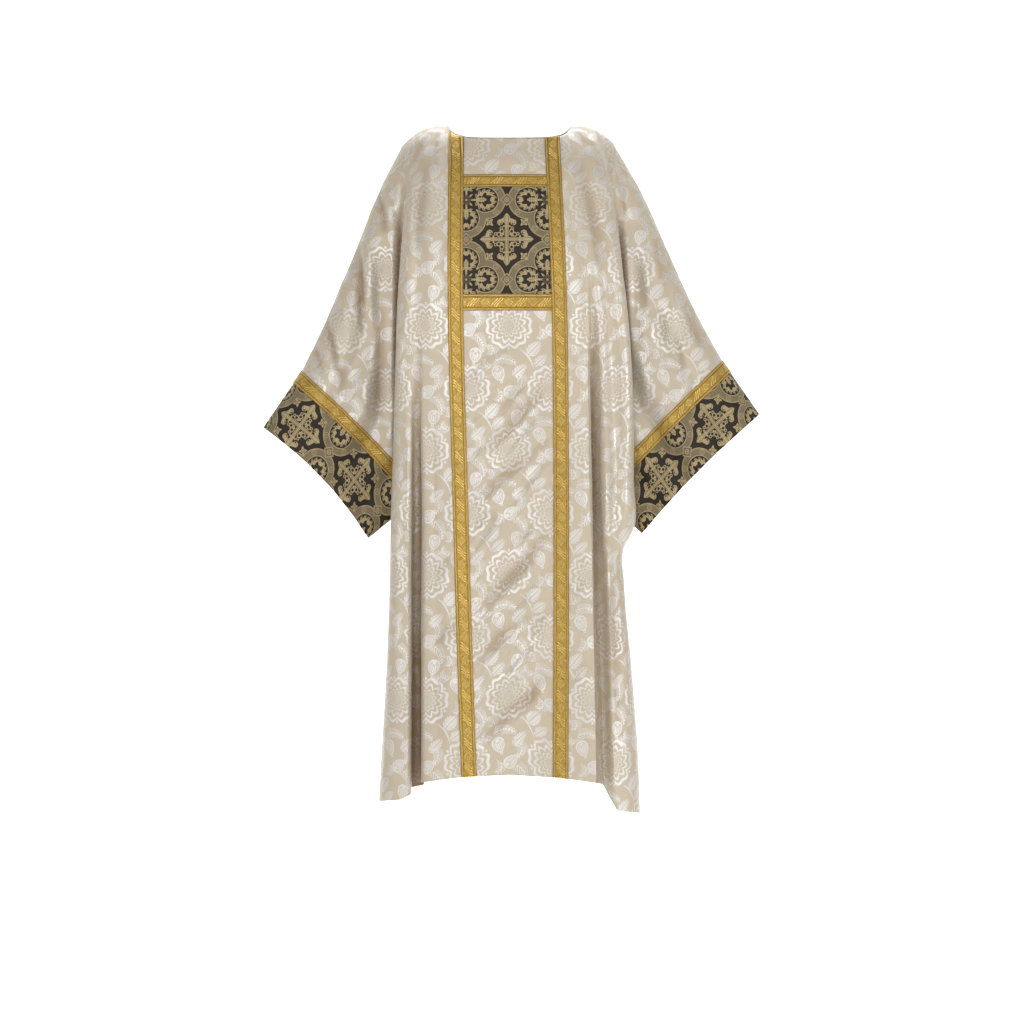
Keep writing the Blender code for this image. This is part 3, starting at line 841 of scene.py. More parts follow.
def blended(tree, share, low, high, blend="MIX"):
    """A colour between two colours, by a share."""
    mix = add_node(tree, "ShaderNodeMix", {"Factor": share}, data_type="RGBA", blend_type=blend)
    for place, colour in (("A", low), ("B", high)):
        if isinstance(colour, Yarn):
            tree.links.new(colour.socket, mix.inputs[place])
        else:
            mix.inputs[place].default_value = (*colour, 1.0)
    return Yarn(tree, mix.outputs["Result"])


def finish_surface(tree, surface, colour, roughness, height, depth, **settings):
    """Join colour, roughness, relief and any fixed settings to a surface."""
    bump = add_node(tree, "ShaderNodeBump", {"Distance": depth, "Height": height})
    for place, value in (("Base Color", colour), ("Roughness", roughness),
                         ("Normal", Yarn(tree, bump.outputs[0]))):
        tree.links.new(value.socket, surface.inputs[place])
    for place, value in settings.items():
        surface.inputs[place.replace("_", " ")].default_value = value


GROUND_SILK = ((0.485, 0.398, 0.279), (0.650, 0.559, 0.413))
CLOUDED_SILK = (0.535, 0.460, 0.350)
SATIN_SILK = ((0.500, 0.464, 0.415), (0.636, 0.604, 0.560))
# Warm brown that the painted shade multiplies into the creases.
SHADED_SILK = (0.50, 0.34, 0.22)


def cream_damask():
    """Matt beige ground with greyer satin figures that catch the light, and painted shade that
    darkens, warms and dulls the cloth along its creases.
    """
    material, tree, surface, cloth = start_cloth("cream_damask")
    figure = use_group(tree, damask_figure, cloth)[0]
    streaks = use_group(tree, slub, cloth, 900.0)[0]
    cloud = use_group(tree, slub, cloth, 14.0)[0]
    ground = blended(tree, streaks, *GROUND_SILK)
    ground = blended(tree, cloud.spread(3.0, -1.2), ground, CLOUDED_SILK)
    figure = figure * (streaks * 0.3 + 0.80)
    colour = blended(tree, figure, ground, blended(tree, streaks, *SATIN_SILK))
    # Painted shade in the creases: a warm brown multiplied over the colour, the satin figure faded
    # there and the gloss lowered.
    depth = add_node(tree, "ShaderNodeAttribute", attribute_name="painted_shade")
    painted_shade = Yarn(tree, depth.outputs["Fac"])
    colour = blended(tree, painted_shade * 0.85, colour, SHADED_SILK, "MULTIPLY")
    figure = figure * (painted_shade * -0.8 + 1.0)
    gloss = figure.worked("MULTIPLY_ADD", 1.95, 1.66) - painted_shade * 0.3
    tree.links.new(gloss.socket, surface.inputs["IOR"])
    height = figure * 0.35 + streaks * 0.5 + use_group(tree, pucker, cloth)[0]
    finish_surface(tree, surface, colour, figure.worked("MULTIPLY_ADD", -0.04, 0.47), height,
                   0.0004, Sheen_Weight=0.08)
    return material


damask = cream_damask()
front_out, back_out = sheet_normals([(front, False, False), (back, False, True)])
front_weave, back_weave = panel_weave(front), panel_weave(back)

front_panel = cloth_wall("front_of_damask", "front_panel", "damask", damask, front, front_out,
                         front_weave, painted_shade=front_painted_shade)
back_panel = cloth_wall("back_of_damask", "back_panel", "damask", damask, back, back_out,
                        back_weave, flipped=True, painted_shade=back_painted_shade)


# Sleeves: wide tubes of the same damask, set into the armholes and hanging from the arm.
# They end in a seam under their galloon, where the cuff is joined on.

SLEEVE_STAGES = (0.0, 0.16, 0.42, 0.71, 1.0, 2.0)
SLEEVE_TOP = {
    "right": ((0.203, 0.041), (0.245, 0.124), (0.291, 0.238), (0.344, 0.364),
              (0.394, 0.469), (0.467, 0.576)),
    "left": ((0.197, 0.035), (0.247, 0.121), (0.297, 0.231), (0.352, 0.351),
             (0.4055, 0.4495), (0.476, 0.551)),
}
SLEEVE_UNDER = {
    "right": ((0.135, 0.665), (0.139, 0.671), (0.146, 0.680), (0.155, 0.691),
              (0.163, 0.702), (0.267, 0.787)),
    "left": ((0.134, 0.665), (0.139, 0.670), (0.147, 0.677), (0.157, 0.686),
             (0.166, 0.694), (0.252, 0.778)),
}
SLEEVE_BOW = {"right": 0.016, "left": 0.008}
CUFF_SEAM_STAGE = 1.11
GALLOON_END_STAGE = 1.22
SLEEVE_RINGS = (0.0, 0.10, 0.20, 0.31, 0.43, 0.56, 0.70, 0.85, 1.0, CUFF_SEAM_STAGE)
CUFF_RINGS = (CUFF_SEAM_STAGE, GALLOON_END_STAGE, 1.48, 1.74, 2.0)
ARM_RINGS = SLEEVE_RINGS + CUFF_RINGS[1:]
CUFF_ROW = (len(SLEEVE_RINGS) - 1) * FINE_DOWN
SLEEVE_HALF_DEPTH = 0.054
ARM_ROUND = 0.20
UNDER_ROUND = 0.16
SLEEVE_NARROWING = 0.40
HANGS_FROM_DROP = 0.252     # where around the armhole the sleeve's threads hang truest
SLEEVE_FOLDS = (
    # from the top at armhole, at hem, half width, depth
    (0.24, 0.36, 0.10, 0.008),
    (0.50, 0.62, 0.12, 0.012),
    (0.76, 0.84, 0.09, 0.007),
)
SLEEVE_CREASES = {
    "right": (
        (9, -11.7, -286, 240, -284, 290, -278, 345, -272, 400),
        (11, 6.5, -266, 200, -262, 300, -260, 420),
        (7, -7.8, -249, 125, -240, 176, -230, 212),
        (6, 4.7, -232, 110, -224, 150, -218, 200),
        (9, 6, -318, 290, -308, 350, -300, 430),
        (7, -9.1, -350, 372, -336, 420, -314, 486),
        (6, -6, -374, 415, -362, 445, -350, 476),
        (11, -6.5, -240, 330, -240, 460, -248, 580),
        (11, 5.7, -218, 200, -216, 380, -222, 560),
        (9, 4.7, -266, 470, -270, 520, -276, 565),
        (8, -4.7, -306, 460, -310, 490, -314, 520),
        (7, 6, -212, 80, -206, 130, -202, 200),
        (7, -15.6, -200, 150, -205, 260, -209, 400, -212, 640),
    ),
    "left": (
        (12, -2.6, 236, 245, 240, 330, 243, 430),
        (12, 3.4, 254, 240, 262, 330, 266, 430),
        (9, -4.1, 276, 215, 288, 270, 294, 330),
        (11, 3.6, 300, 290, 306, 350, 308, 420),
        (8, -5.3, 334, 345, 350, 390, 366, 425),
        (8, -4.1, 306, 395, 318, 430, 326, 470),
        (12, 3.1, 252, 430, 258, 500, 262, 560),
        (7, 5, 216, 75, 222, 130, 224, 200),
        (6, -4.8, 206, 90, 212, 130, 214, 190),
        (8, 3.6, 222, 200, 226, 300, 228, 400),
        (7, -13.2, 205, 180, 212, 300, 220, 440, 228, 640),
    ),
}


def sleeve_depth(fall):
    """Half the depth of a sleeve ring, by the share of the way down it."""
    over_arm = np.sqrt(1 - (1 - np.clip(fall / ARM_ROUND, 0, 1)) ** 2)
    at_foot = np.sqrt(1 - np.clip((fall - 1 + UNDER_ROUND) / UNDER_ROUND, 0, 1) ** 2)
    return SLEEVE_HALF_DEPTH * (1 - SLEEVE_NARROWING * ease(fall, 0.3, 1.0)) * over_arm * at_foot


def sleeve_rings(side, stages):
    """Closed rings around a sleeve, each from the shoulder down the front and up the back."""
    sign = -1 if side == "right" else 1
    column = 0 if sign < 0 else -1
    last = row_at(UNDERARM_DROP)
    armhole = np.concatenate((front[:last + 1, column], back[last - 1:0:-1, column]))
    shoulder, underarm = armhole[0], armhole[last]
    fall = (shoulder[2] - armhole[:, 2]) / (shoulder[2] - underarm[2])
    facing = np.where(np.arange(len(armhole)) <= last, -1.0, 1.0)
    top, under = np.array(SLEEVE_TOP[side]), np.array(SLEEVE_UNDER[side])
    chord = shoulder + (underarm - shoulder) * fall[:, None]
    rings = []
    for stage in stages:
        line = np.interp if stage > 1 else curve
        over = [line(stage, SLEEVE_STAGES, top[:, i]) for i in (0, 1)]
        foot = [line(stage, SLEEVE_STAGES, under[:, i]) for i in (0, 1)]
        start = np.array((sign * over[0], 0.0, -over[1]))
        end = np.array((sign * foot[0], 0.0, -foot[1]))
        ring = start + (end - start) * fall[:, None]
        settled = ease(stage, 0.0, 0.7)
        ring += (armhole - chord) * (1 - settled) * np.array((1, 0, 1))
        across = (end - start) / np.linalg.norm(end - start)
        inward = np.array((across[2], 0.0, -across[0])) * sign
        bow = SLEEVE_BOW[side] * ease(stage, 0.2, 2.0) * 4 * fall * (1 - fall)
        ring += inward * bow[:, None]
        depth = sleeve_depth(fall)
        for at_armhole, at_hem, width, sunk in SLEEVE_FOLDS:
            line = at_armhole + (at_hem - at_armhole) * stage / 2
            depth = depth - sunk * settled * bell(fall - line, width, width)
        ring[:, 1] = facing * (np.abs(armhole[:, 1]) * (1 - settled) + depth * settled)
        rings.append(ring)
    rings = np.array(rings)
    if stages[0] == 0.0:
        rings[0] = armhole
    return rings


def hanging_weave(rings):
    """Where each point of a sleeve lies on its flat cloth, with the threads hanging straight."""
    flat = rings[:, :, [0, 2]] * (1, -1)
    half = row_at(UNDERARM_DROP)
    start = row_at(HANGS_FROM_DROP)
    count = rings.shape[1]
    weave = flat.copy()
    for way in (range(start, half), range(start, 0, -1),
                range(count - start, half, -1), range(count - start, count - 1)):
        for i in way:
            j = i + way.step
            flat_step = flat[:, j] - flat[:, i]
            reach = np.linalg.norm(flat_step, axis=1, keepdims=True) + 1e-9
            full = np.linalg.norm(rings[:, j] - rings[:, i], axis=1, keepdims=True)
            weave[:, j] = weave[:, i] + flat_step / reach * full
    return weave


def as_worn(side, *grids):
    """Grids turned so that their faces point outwards on either arm."""
    return grids if side == "right" else tuple(grid[:, ::-1] for grid in grids)


def whole_arm(side):
    """Ground of sleeve and cuff together, creased, with its normals, its hanging weave and its
    painted shade.
    """
    rings = sleeve_rings(side, finer(ARM_RINGS))
    out = sheet_normals([(rings, True, side == "left")])[0]
    creases = crease_heights(rings[:, :, 0], -rings[:, :, 2], SLEEVE_CREASES[side])
    relief = np.where(rings[:, :, 1] < 0, creases, 0.8 * creases) + unevenness(rings, 23.0)
    relief *= 0.2 + 0.8 * ease(np.abs(rings[:, :, 1]), 0.0, 0.03)
    from_armhole = run_lengths(rings, 0)
    to_hem = from_armhole[-1:] - from_armhole
    fade = ease(from_armhole, 0, CREASE_FADE) * (0.25 + 0.75 * ease(to_hem, 0.10, 0.18))
    # Painted shade of the sleeve's creases, weaker towards the hem.
    painted_shade = np.clip(-creases / PAINTED_SHADE_DEPTH, 0, 1) * fade
    rings = rings + out * (relief * fade)[:, :, None]
    rings, weave, to_hem, painted_shade = as_worn(side, rings, hanging_weave(rings), to_hem, painted_shade)
    return rings, sheet_normals([(rings, True, False)])[0], weave, to_hem, painted_shade


arms = {side: whole_arm(side) for side in ("right", "left")}
for side in ("right", "left"):
    rings, out, weave, _, painted_shade = arms[side]
    upper = slice(0, CUFF_ROW + 1)
    sleeve = cloth_wall("sleeve_of_damask_" + side, "sleeve_" + side, "damask", damask,
                        rings[upper], out[upper], weave[upper], closed=True, painted_shade=painted_shade[upper])


# Cuffs: deep bands of stiff dark brocade on the sleeve ends. Quatrefoil wreaths in bronze
# silk leave star-shaped black fields between them, each with a flowered cross.

BROCADE_REPEAT = 0.150
BLACK_SILK = (0.027, 0.021, 0.015)
GREY_BRONZE = (0.175, 0.140, 0.086)
KHAKI_GOLD = (0.450, 0.355, 0.190)


def draw_cross(group, m, n):
    """One arm of the flowered cross, along m and across n, in shares of the repeat."""
    soft = 0.005
    shaft = n.within(0.023, soft).only(m.within(0.21, soft))
    shaft = shaft.only(n.near(0.0115, 0.0022, 0.003).flipped())
    share = (m - 0.252) / 0.078
    full = (share * share).flipped()
    petal = (n - full * 0.044).within(0.0, soft)
    seam = abs(n - full * 0.028 + 0.003).within(0.0025, 0.003).only(m.within(0.300, soft))
    lobe = length_of(m - 0.212, (n - 0.083) * 1.05)
    side = lobe.within(0.037, soft).also(length_of(m - 0.236, n - 0.054).within(0.026, soft))
    hook = lobe.near(0.019, 0.0026, 0.003).only(m.within(0.222, soft))
    hook = hook.also(length_of(m - 0.190, n - 0.072).within(0.010, soft))
    collar = m.near(0.163, 0.010, soft).only(n.within(0.050, soft))
    waist = m.near(0.178, 0.0028, 0.003).only(n.within(0.060, soft))
    loops = abs(length_of(m - 0.098, n - 0.060) - 0.024).within(0.0060, soft)
    loops = loops.also(abs(length_of(m - 0.138, n - 0.068) - 0.015).within(0.0050, soft))
    loops = loops.also(length_of(m - 0.064, n - 0.046).within(0.014, soft))
    body = petal.also(side).only(seam.also(hook).also(waist).flipped())
    return [shaft.also(body).also(collar).also(loops)]


cross_arm = pattern_group("woven_cross_arm", "m n", "mask", draw_cross)


def draw_wreath(group, big, small):
    """One lobe of a quatrefoil wreath: leaves around a dark star with a bloom in it."""
    soft = 0.005
    ring = length_of(big - 0.235, small)
    turn = small.worked("ARCTAN2", big - 0.235) + ring * 5.0
    tips = turn.wave(13.0, 0.8)
    leaves = (ring - tips * 0.018 - 0.129).within(0.0, soft)
    leaves = leaves.only((ring - turn.wave(6.0, 0.4) * 0.016 - 0.076).within(0.0, soft).flipped())
    veins = turn.wave(13.0, 3.9416).within(-0.93, 0.08)
    veins = veins.only(ring.within(0.096, soft).flipped())
    leaves = leaves.only(veins.flipped())
    share = (big - 0.192) / 0.062
    half = (share * share).flipped() * (share.wave(16.0) * 0.009 + 0.030)
    bloom = (small - half).within(0.0, soft)
    bloom = bloom.only(small.within(0.0022, 0.003).only(share.within(0.6, 0.1)).flipped())
    return [leaves.only(ring.within(0.150, soft)).also(bloom), ring]


wreath_lobe = pattern_group("woven_wreath", "big small", "mask ring", draw_wreath)


def draw_brocade(group, cloth):
    """Masks of the gold figure and of the bronze bands, from folded quarters of the repeat."""
    across, along = parts_of(group, cloth)
    soft = 0.005
    a = across / BROCADE_REPEAT
    b = along / BROCADE_REPEAT
    a = abs(a - a.worked("ROUND"))
    b = abs(b - b.worked("ROUND"))
    m = a.also(b)
    n = a.worked("MINIMUM", b)
    cross = use_group(group, cross_arm, m, n)[0]

    far = (a + b) * 0.7071 - 0.300
    off = abs(a - b) * 0.7071
    middle = length_of(far, off)
    flower = length_of(far / 0.058, off / 0.018).within(1.0, 0.15)
    flower = flower.also(length_of(far / 0.018, off / 0.054).within(1.0, 0.15))
    flower = flower.also(middle.within(0.031, soft))
    flower = flower.only(middle.near(0.018, 0.0028, 0.003).flipped())

    p = (a - 0.5) * -1.0
    q = (b - 0.5) * -1.0
    big = p.also(q)
    small = p.worked("MINIMUM", q)
    garden, ring = use_group(group, wreath_lobe, big, small)
    near = big + small
    inner = ring.within(0.157, soft).also(near.within(0.250, soft).only(big.within(0.20, soft)))
    rim = ring.within(0.168, soft).also(near.within(0.268, soft).only(big.within(0.21, soft)))
    frame = ring.within(0.252, soft).only(inner.flipped())
    border = ring.near(0.246, 0.0055, soft).also(ring.near(0.231, 0.0018, 0.003))
    border = border.also(rim).only(frame)
    star = q.worked("ARCTAN2", p).wave(8.0)
    core = length_of(p, q)
    leaves = (core - star * 0.048 - 0.058).within(0.0, soft)
    leaves = leaves.only((core - star * 0.034 - 0.034).within(0.0, soft).flipped())
    garden = garden.also(leaves).also(core.within(0.014, soft)).only(inner)

    roundel = length_of(big - 0.367, small - 0.158)
    spot = roundel.near(0.031, 0.0040, soft).also(roundel.near(0.012, 0.0030, soft))
    work = across.wave(2500.0) * along.wave(2500.0)
    work = work.spread(2.0, 0.1).only(ring.near(0.199, 0.022, soft))
    work = work.only(roundel.within(0.035, soft).flipped()).only(frame) * 0.42

    j = abs(m - 0.5)
    diamond = j + n
    eye = length_of(j, n)
    knot = diamond.near(0.074, 0.0065, soft).also(eye.near(0.025, 0.0055, soft))
    knot = knot.also(eye.within(0.009, soft))
    bare = diamond.within(0.082, soft)
    gold = cross.also(flower).also(border.also(spot).also(work).also(garden).only(bare.flipped()))
    return [gold.also(knot), frame.also(bare)]


brocade_figure = pattern_group("brocade_figure", "Cloth", "Gold Band", draw_brocade)


def dark_brocade():
    """Black satin ground with grey-bronze bands and matt khaki-gold figures."""
    material, tree, surface, cloth = start_cloth("dark_brocade")
    gold, band = use_group(tree, brocade_figure, cloth)
    streaks = use_group(tree, slub, cloth, 1500.0)[0]
    colour = blended(tree, band * (streaks * 0.5 + 0.70), BLACK_SILK, GREY_BRONZE)
    colour = blended(tree, gold * (streaks * 0.6 + 0.62), colour, KHAKI_GOLD)
    height = gold * 0.6 + band * 0.25 + streaks * 0.5
    finish_surface(tree, surface, colour, gold.worked("MULTIPLY_ADD", -0.04, 0.58), height,
                   0.0005, Specular_IOR_Level=0.22)
    return material


brocade = dark_brocade()


def around(rings, side):
    """Length around each ring from the top of the arm, growing down the front."""
    girth = run_lengths(rings, 1)
    if side == "left":
        girth = girth[:, -1:] - girth
    closing = np.linalg.norm(rings[:, 0] - rings[:, -1], axis=1, keepdims=True)
    whole = girth.max(axis=1, keepdims=True) + closing
    return np.minimum(girth, whole - girth)


# Where a cross of the repeat falls on each cuff: around from the top, and up from the hem
CUFF_CROSS = {"right": (0.0904, 0.0442), "left": (0.1144, 0.0415)}
for side in ("right", "left"):
    rings, out, _, to_hem, _ = arms[side]
    cross_around, cross_up = CUFF_CROSS[side]
    girth = around(rings, side)
    weave = np.stack((girth - cross_around, cross_up - to_hem), axis=2)
    lower = slice(CUFF_ROW, None)
    cuff = cloth_wall("cuff_of_brocade_" + side, "cuff_" + side, "brocade", brocade,
                      rings[lower], out[lower], weave[lower], closed=True)


# Galloons: woven gold braid 28 mm wide, sewn flat down both sides of front and back, over
# the cuff seams and above and below the chest panel. Its edges are beaded, and between
# them slanted triple bars take turns with lozenges.

GALLOON_HALF = 0.01425
GALLOON_REPEAT = 0.044
DEEP_GOLD = (0.215, 0.098, 0.006)
OLD_GOLD = (0.455, 0.247, 0.026)
# The light gold below colours the braid's light threads and also its painted glints.
LIGHT_GOLD_AND_GLINT = (1.000, 0.760, 0.240)
BROWN_GOLD = (0.170, 0.080, 0.012)


def draw_galloon(group, cloth):
    """Light and dark threads of the braid, from across and along it."""
    across, along = parts_of(group, cloth)
    far = abs(across)
    s = along / GALLOON_REPEAT
    near = (s - s.worked("ROUND")) * GALLOON_REPEAT
    other = s + 0.5
    other = (other - other.worked("ROUND")) * GALLOON_REPEAT
    field = far.within(0.0074, 0.0006)
    slant = other + across * 0.80 + across.wave(420.0, -1.5708) * 0.0012
    bars = slant.wave(1250.0).spread(1.3, 0.1)
    bars = bars.only(abs(slant).within(0.0072, 0.0008)).only(field)
    diamond = abs(near) * 0.80 + far
    lozenge = diamond.near(0.0060, 0.0007, 0.0006).also(diamond.near(0.0032, 0.0005, 0.0005))
    lozenge = lozenge.also(diamond.within(0.0011, 0.0005)).only(field)
    seeds = (along.wave(2300.0) * across.wave(2300.0)).spread(2.0, -0.5)
    seeds = seeds.only(field).only(abs(slant).within(0.0085, 0.0008).flipped()) * 0.75
    beads = far.near(0.0116, 0.0012, 0.0008).only(
        along.wave(2900.0).spread(1.0, 0.5))
    light = bars.also(lozenge).also(seeds).also(beads)
    lines = far.near(0.0090, 0.0008, 0.0008) * 0.8
    return [light, lines.also(far.within(0.0135, 0.0006).flipped())]


galloon_figure = pattern_group("galloon_figure", "Cloth", "Light Dark", draw_galloon)


def gold_galloon():
    """Old gold braid: half metallic threads over a silk core, with glints painted stitch by
    stitch.
    """
    material, tree, surface, cloth = start_cloth("gold_galloon")
    light, dark = use_group(tree, galloon_figure, cloth)
    streaks = use_group(tree, slub, cloth, 800.0)[0]
    # Painted glints: fine random specks of light gold laid into the colour.
    painted_glints = use_group(tree, slub, cloth, 1500.0)[0].spread(4.0, -1.7)
    cloud = use_group(tree, slub, cloth, 25.0)[0].spread(2.5, -0.8)
    colour = blended(tree, streaks.spread(4.6, -1.8), DEEP_GOLD, OLD_GOLD)
    # The light threads of the figure and the painted glints, both in light gold.
    colour = blended(tree, (light * (cloud * 0.5 + 0.5)).also(painted_glints * 0.6), colour, LIGHT_GOLD_AND_GLINT)
    colour = blended(tree, dark * 0.75, colour, BROWN_GOLD)
    height = light * 0.9 + streaks * 0.7 - dark * 0.6
    finish_surface(tree, surface, colour, light.worked("MULTIPLY_ADD", -0.10, 0.46), height,
                   0.0008, Metallic=0.6)
    return material


galloon = gold_galloon()
TRIM_UNDER = 0.0003
TRIM_OVER = 0.0015


def strip_of(*names):
    """The columns between two named lines of a panel."""
    ends = sorted(line_column(name) for name in names)
    return slice(ends[0], ends[1] + 1)


def braid(name, node, points, out, across, along, cut, under, **wall):
    """A galloon on a strip of cloth; across runs 0 to 1 over its width."""
    weave = np.stack(((across - 0.5) * 2 * GALLOON_HALF, along), axis=2)
    piece = cloth_wall(name, node, "galloon", galloon, points, out, weave,
                       TRIM_OVER, TRIM_UNDER, **wall)


cuff_seam = slice(CUFF_ROW - FINE_DOWN, CUFF_ROW + FINE_DOWN + 1)
for side in ("right", "left"):
    band = strip_of(side + "_band_outer", side + "_band_inner")
    for word, points, out, weave, length in (("front", front, front_out, front_weave, 1.20),
                                             ("back", back, back_out, back_weave, 1.25)):
        strip = weave[:, band]
        share = (strip[:, :, 0] - strip[:, :1, 0]) / (strip[:, -1:, 0] - strip[:, :1, 0])
        braid(word + "_braid_" + side, word + "_galloon_" + side, points[:, band], out[:, band],
              1 - share, strip[:, :, 1], (0.0285, length), word + "_of_damask",
              flipped=word == "back")
    rings, out, _, to_hem, _ = arms[side]
    up = to_hem[cuff_seam]
    share = (up[:1] - up) / (up[:1] - up[-1:])
    girth = around(rings, side)[cuff_seam]
    braid("sleeve_braid_" + side, "sleeve_galloon_" + side, rings[cuff_seam], out[cuff_seam],
          share, girth if side == "right" else -girth, (0.70, 0.0285),
          "sleeve_of_damask_" + side, closed=True)

chest = strip_of("right_band_inner", "left_band_inner")
CHEST_BRAIDS = (("top", CHEST_TRIM_TOP, CHEST_PANEL_TOP, (0.162, 0.026)),
                ("bottom", CHEST_PANEL_BOTTOM, CHEST_TRIM_BOTTOM, (0.164, 0.031)))
for word, top, foot, cut in CHEST_BRAIDS:
    rows = slice(row_at(top), row_at(foot) + 1)
    strip = front_weave[rows, chest]
    share = (strip[:, :, 1] - strip[:1, :, 1]) / (strip[-1:, :, 1] - strip[:1, :, 1])
    braid("chest_braid_" + word, "chest_galloon_" + word, front[rows, chest],
          front_out[rows, chest], share, strip[:, :, 0], cut, "front_of_damask")


# Chest panel: one piece of the dark brocade between the two bands, with a cross of the
# repeat in its middle, laid on the damask and held by the braids around it.

PANEL_MIDDLE = (-0.004, 0.234)
rows = slice(row_at(CHEST_PANEL_TOP), row_at(CHEST_PANEL_BOTTOM) + 1)
chest_piece = cloth_wall("chest_of_brocade", "chest_panel", "brocade", brocade,
                         front[rows, chest], front_out[rows, chest],
                         front_weave[rows, chest] - PANEL_MIDDLE, TRIM_OVER, TRIM_UNDER)


# Stitching: the galloons are sewn down along both edges in gold thread, and the neck facing
# is caught through the front with a row of cream stitches between the bands.

STITCH_PITCH = 0.0034
STITCH_LENGTH = STITCH_PITCH * 0.36
STITCH_INSET = 0.38     # of a column of cloth, in from a braid's edge
FACING_DROP = 0.066
THREAD = 0.00024


def thread_material(name, low, high):
    """Twisted sewing thread with a faint uneven sheen."""
    material, tree, surface = start_material(name)
    place = Yarn(tree, add_node(tree, "ShaderNodeTexCoord").outputs["Object"])
    twist = noise_at(tree, place, 1500.0, 2.0)
    finish_surface(tree, surface, blended(tree, twist, low, high), twist * 0.1 + 0.42, twist,
                   0.0002)
    return material


def stitch_tree(thread):
    """Nodes that set one short stitch after another along a run of edges."""
    tree = bpy.data.node_groups.new("row_of_stitches", "GeometryNodeTree")
    tree.is_modifier = True
    for label, kind in (("Run", "Geometry"), ("Pitch", "Float"), ("Length", "Float"),
                        ("Thickness", "Float"), ("Seed", "Int")):
        tree.interface.new_socket(label, in_out="INPUT", socket_type="NodeSocket" + kind)
    tree.interface.new_socket("Stitches", in_out="OUTPUT", socket_type="NodeSocketGeometry")
    start = {socket.name: Yarn(tree, socket) for socket in
             add_node(tree, "NodeGroupInput").outputs if socket.name}

    def made(kind, inputs=(), output=0, **settings):
        return Yarn(tree, add_node(tree, kind, inputs, **settings).outputs[output])

    line = made("GeometryNodeMeshToCurve", {0: start["Run"]})
    evenly = made("GeometryNodeResampleCurve", {"Curve": line, "Length": start["Pitch"]},
                  mode="LENGTH")
    bead = made("GeometryNodeMeshUVSphere", {"Segments": 6, "Rings": 4})
    turn = made("FunctionNodeAlignRotationToVector",
                {"Vector": made("GeometryNodeInputTangent")}, axis="Z")
    uneven = made("FunctionNodeRandomValue", {2: 0.82, 3: 1.08, "Seed": start["Seed"]}, 1,
                  data_type="FLOAT")
    size = made("ShaderNodeCombineXYZ", {0: start["Thickness"], 1: start["Thickness"],
                                         2: start["Length"] * uneven})
    row = made("GeometryNodeInstanceOnPoints",
               {"Points": evenly, "Instance": bead, "Rotation": turn, "Scale": size})
    real = made("GeometryNodeRealizeInstances", {0: row})
    cover = made("GeometryNodeSetMaterial", {"Geometry": real, "Material": thread})
    add_node(tree, "NodeGroupOutput", {0: cover})
    return tree


def sew(name, runs, thread, seed):
    """All runs of one thread as a single piece of small stitches."""
    verts, edges = [], []
    for run in runs:
        first = len(verts)
        verts.extend(run.tolist())
        edges.extend((first + i, first + i + 1) for i in range(len(run) - 1))
    mesh = bpy.data.meshes.new(name)
    mesh.from_pydata(verts, edges, [])
    piece = linked(name, mesh)
    tree = stitch_tree(thread)
    worker = piece.modifiers.new("stitches", "NODES")
    worker.node_group = tree
    settings = {"Pitch": STITCH_PITCH, "Length": STITCH_LENGTH, "Thickness": THREAD,
                "Seed": seed}
    for item in tree.interface.items_tree:
        if item.name in settings:
            worker[item.identifier] = settings[item.name]
    view = bpy.context.evaluated_depsgraph_get()
    sewn = bpy.data.meshes.new_from_object(piece.evaluated_get(view))
    piece.modifiers.clear()
    piece.data = sewn
    sewn.shade_smooth()
    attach(piece, "root")


def inside_edges(points, out):
    """Two runs, a little inside the first and last columns of a strip."""
    over = points + out * (TRIM_OVER + THREAD / 2)
    return [over[:, edge] * (1 - STITCH_INSET) + over[:, beside] * STITCH_INSET
            for edge, beside in ((0, 1), (-1, -2))]


runs = []
for side in ("right", "left"):
    band = strip_of(side + "_band_outer", side + "_band_inner")
    runs += inside_edges(front[:, band], front_out[:, band])
    runs += inside_edges(back[:, band], back_out[:, band])
    rings, out = arms[side][:2]
    runs += inside_edges(rings[cuff_seam].swapaxes(0, 1), out[cuff_seam].swapaxes(0, 1))
for _, top, foot, _ in CHEST_BRAIDS:
    rows = slice(row_at(top), row_at(foot) + 1)
    runs += inside_edges(front[rows, chest].swapaxes(0, 1), front_out[rows, chest].swapaxes(0, 1))
sew("gold_stitching", runs, thread_material("gold_thread", (0.30, 0.16, 0.02), (0.62, 0.40, 0.09)),
    3)

facing_row = row_at(FACING_DROP) + 2
facing = front[facing_row, chest] + front_out[facing_row, chest] * (THREAD / 3)
sew("neck_stitching", [facing],
    thread_material("cream_thread", (0.40, 0.32, 0.22), (0.60, 0.51, 0.38)), 5)


# Room: a pale floor that curves up into a wall, seen from the front side only, with low wide
# lights at both sides and in front, a weak one overhead and two that whiten the wall.

FLOOR_LEVEL = -1.75
FLOOR_FRONT, BEND_START, WALL_TOP = -7.0, 2.0, 6.0
BEND = 1.5
HALF_WIDTH = 9.0
turns = np.linspace(0, np.pi / 2, 17)
profile = [(FLOOR_FRONT, FLOOR_LEVEL)]
profile += [(BEND_START + BEND * np.sin(t), FLOOR_LEVEL + BEND * (1 - np.cos(t))) for t in turns]
profile += [(BEND_START + BEND, WALL_TOP)]
mesh = bpy.data.meshes.new("studio_floor")
mesh.from_pydata([(x, y, z) for y, z in profile for x in (-HALF_WIDTH, HALF_WIDTH)], [],
                 [(i, i + 1, i + 3, i + 2) for i in range(0, 2 * len(profile) - 2, 2)])
mesh.shade_smooth()
floor = linked("studio_floor", mesh)
paper, tree, surface = start_material("white_paper")
grain = Yarn(tree, add_node(tree, "ShaderNodeTexNoise", {"Scale": 60.0}).outputs["Fac"])
fibre = add_node(tree, "ShaderNodeBump", {"Strength": 0.05, "Height": grain})
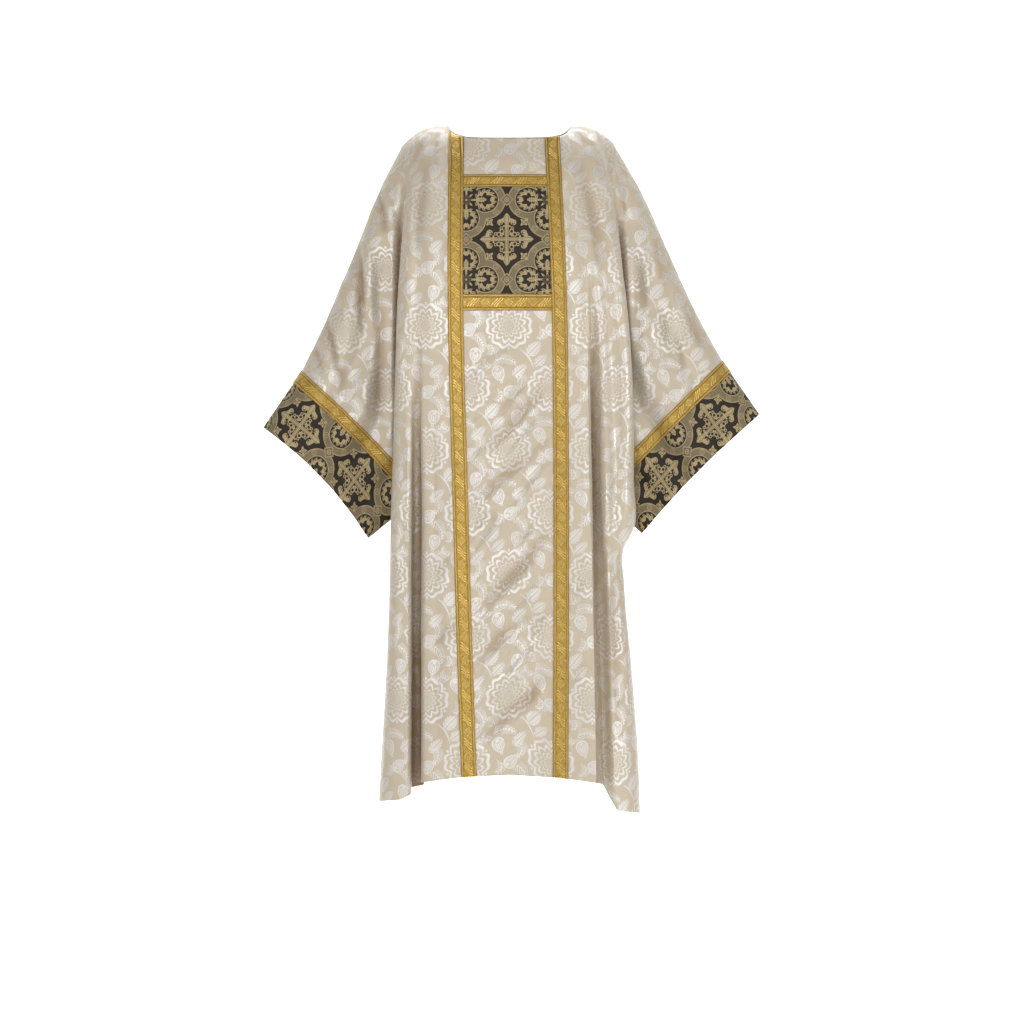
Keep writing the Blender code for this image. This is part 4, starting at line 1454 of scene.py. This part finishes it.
tree.links.new(fibre.outputs[0], surface.inputs["Normal"])
surface.inputs["Base Color"].default_value = (0.90, 0.90, 0.90, 1.0)
surface.inputs["Roughness"].default_value = 0.9
behind = Yarn(tree, add_node(tree, "ShaderNodeNewGeometry").outputs["Backfacing"])
clear = Yarn(tree, add_node(tree, "ShaderNodeBsdfTransparent").outputs[0])
one_sided = add_node(tree, "ShaderNodeMixShader",
                     {0: behind, 1: Yarn(tree, surface.outputs[0]), 2: clear})
tree.links.new(one_sided.outputs[0], tree.nodes["Material Output"].inputs["Surface"])
mesh.materials.append(paper)

LAMP_WHITE = (1.0, 0.990, 0.975)
WALL_WHITE = (1.0, 1.0, 1.0)
ROOM_GLOW = 0.19
for name, place, aim, size, power, colour in (
        # name,            where,             aimed at,           size,       watts
        ("left_softbox", (-4.3, -2.7, -0.3), (0.0, 0.0, -0.75), (2.2, 1.4), 48.0, LAMP_WHITE),
        ("right_softbox", (4.3, -2.7, -0.3), (0.0, 0.0, -0.75), (2.2, 1.4), 84.0, LAMP_WHITE),
        ("front_softbox", (-0.6, -5.9, 0.3), (0.0, 0.0, -0.60), (3.0, 1.2), 100.0, LAMP_WHITE),
        ("top_softbox", (0.0, -2.6, 2.4), (0.0, 0.0, -0.40), (3.0, 1.4), 17.0, LAMP_WHITE),
        ("upper_wall_light", (0.0, 1.6, 3.2), (0.0, 3.4, -0.2), (4.0, 1.0), 190.0, WALL_WHITE),
        ("lower_wall_light", (0.0, 1.0, -1.2), (0.0, 3.4, -1.3), (3.0, 0.5), 90.0, WALL_WHITE)):
    light = bpy.data.lights.new(name, "AREA")
    light.shape = "RECTANGLE"
    light.size, light.size_y = size
    light.energy = power
    light.color = colour
    lamp = linked(name, light)
    lamp.location = place
    lamp.rotation_euler = (Vector(aim) - Vector(place)).to_track_quat("-Z", "Y").to_euler()
    lamp.visible_camera = False

world = bpy.data.worlds.new("studio")
world.use_nodes = True
sky = world.node_tree.nodes["Background"]
sky.inputs["Color"].default_value = (1.0, 1.0, 1.0, 1.0)
sky.inputs["Strength"].default_value = ROOM_GLOW
bpy.context.scene.world = world
bpy.context.scene.view_settings.view_transform = "Standard"

LENS = 96.22
FILM_WIDTH = 36.0
CAMERA_PLACE = (0.0057, -5.2, -0.737)
camera_data = bpy.data.cameras.new("camera")
camera_data.lens = LENS
camera_data.sensor_width = FILM_WIDTH
camera = linked("camera", camera_data)
camera.location = CAMERA_PLACE
camera.rotation_euler = (np.pi / 2, 0.0, 0.0)
bpy.context.scene.camera = camera
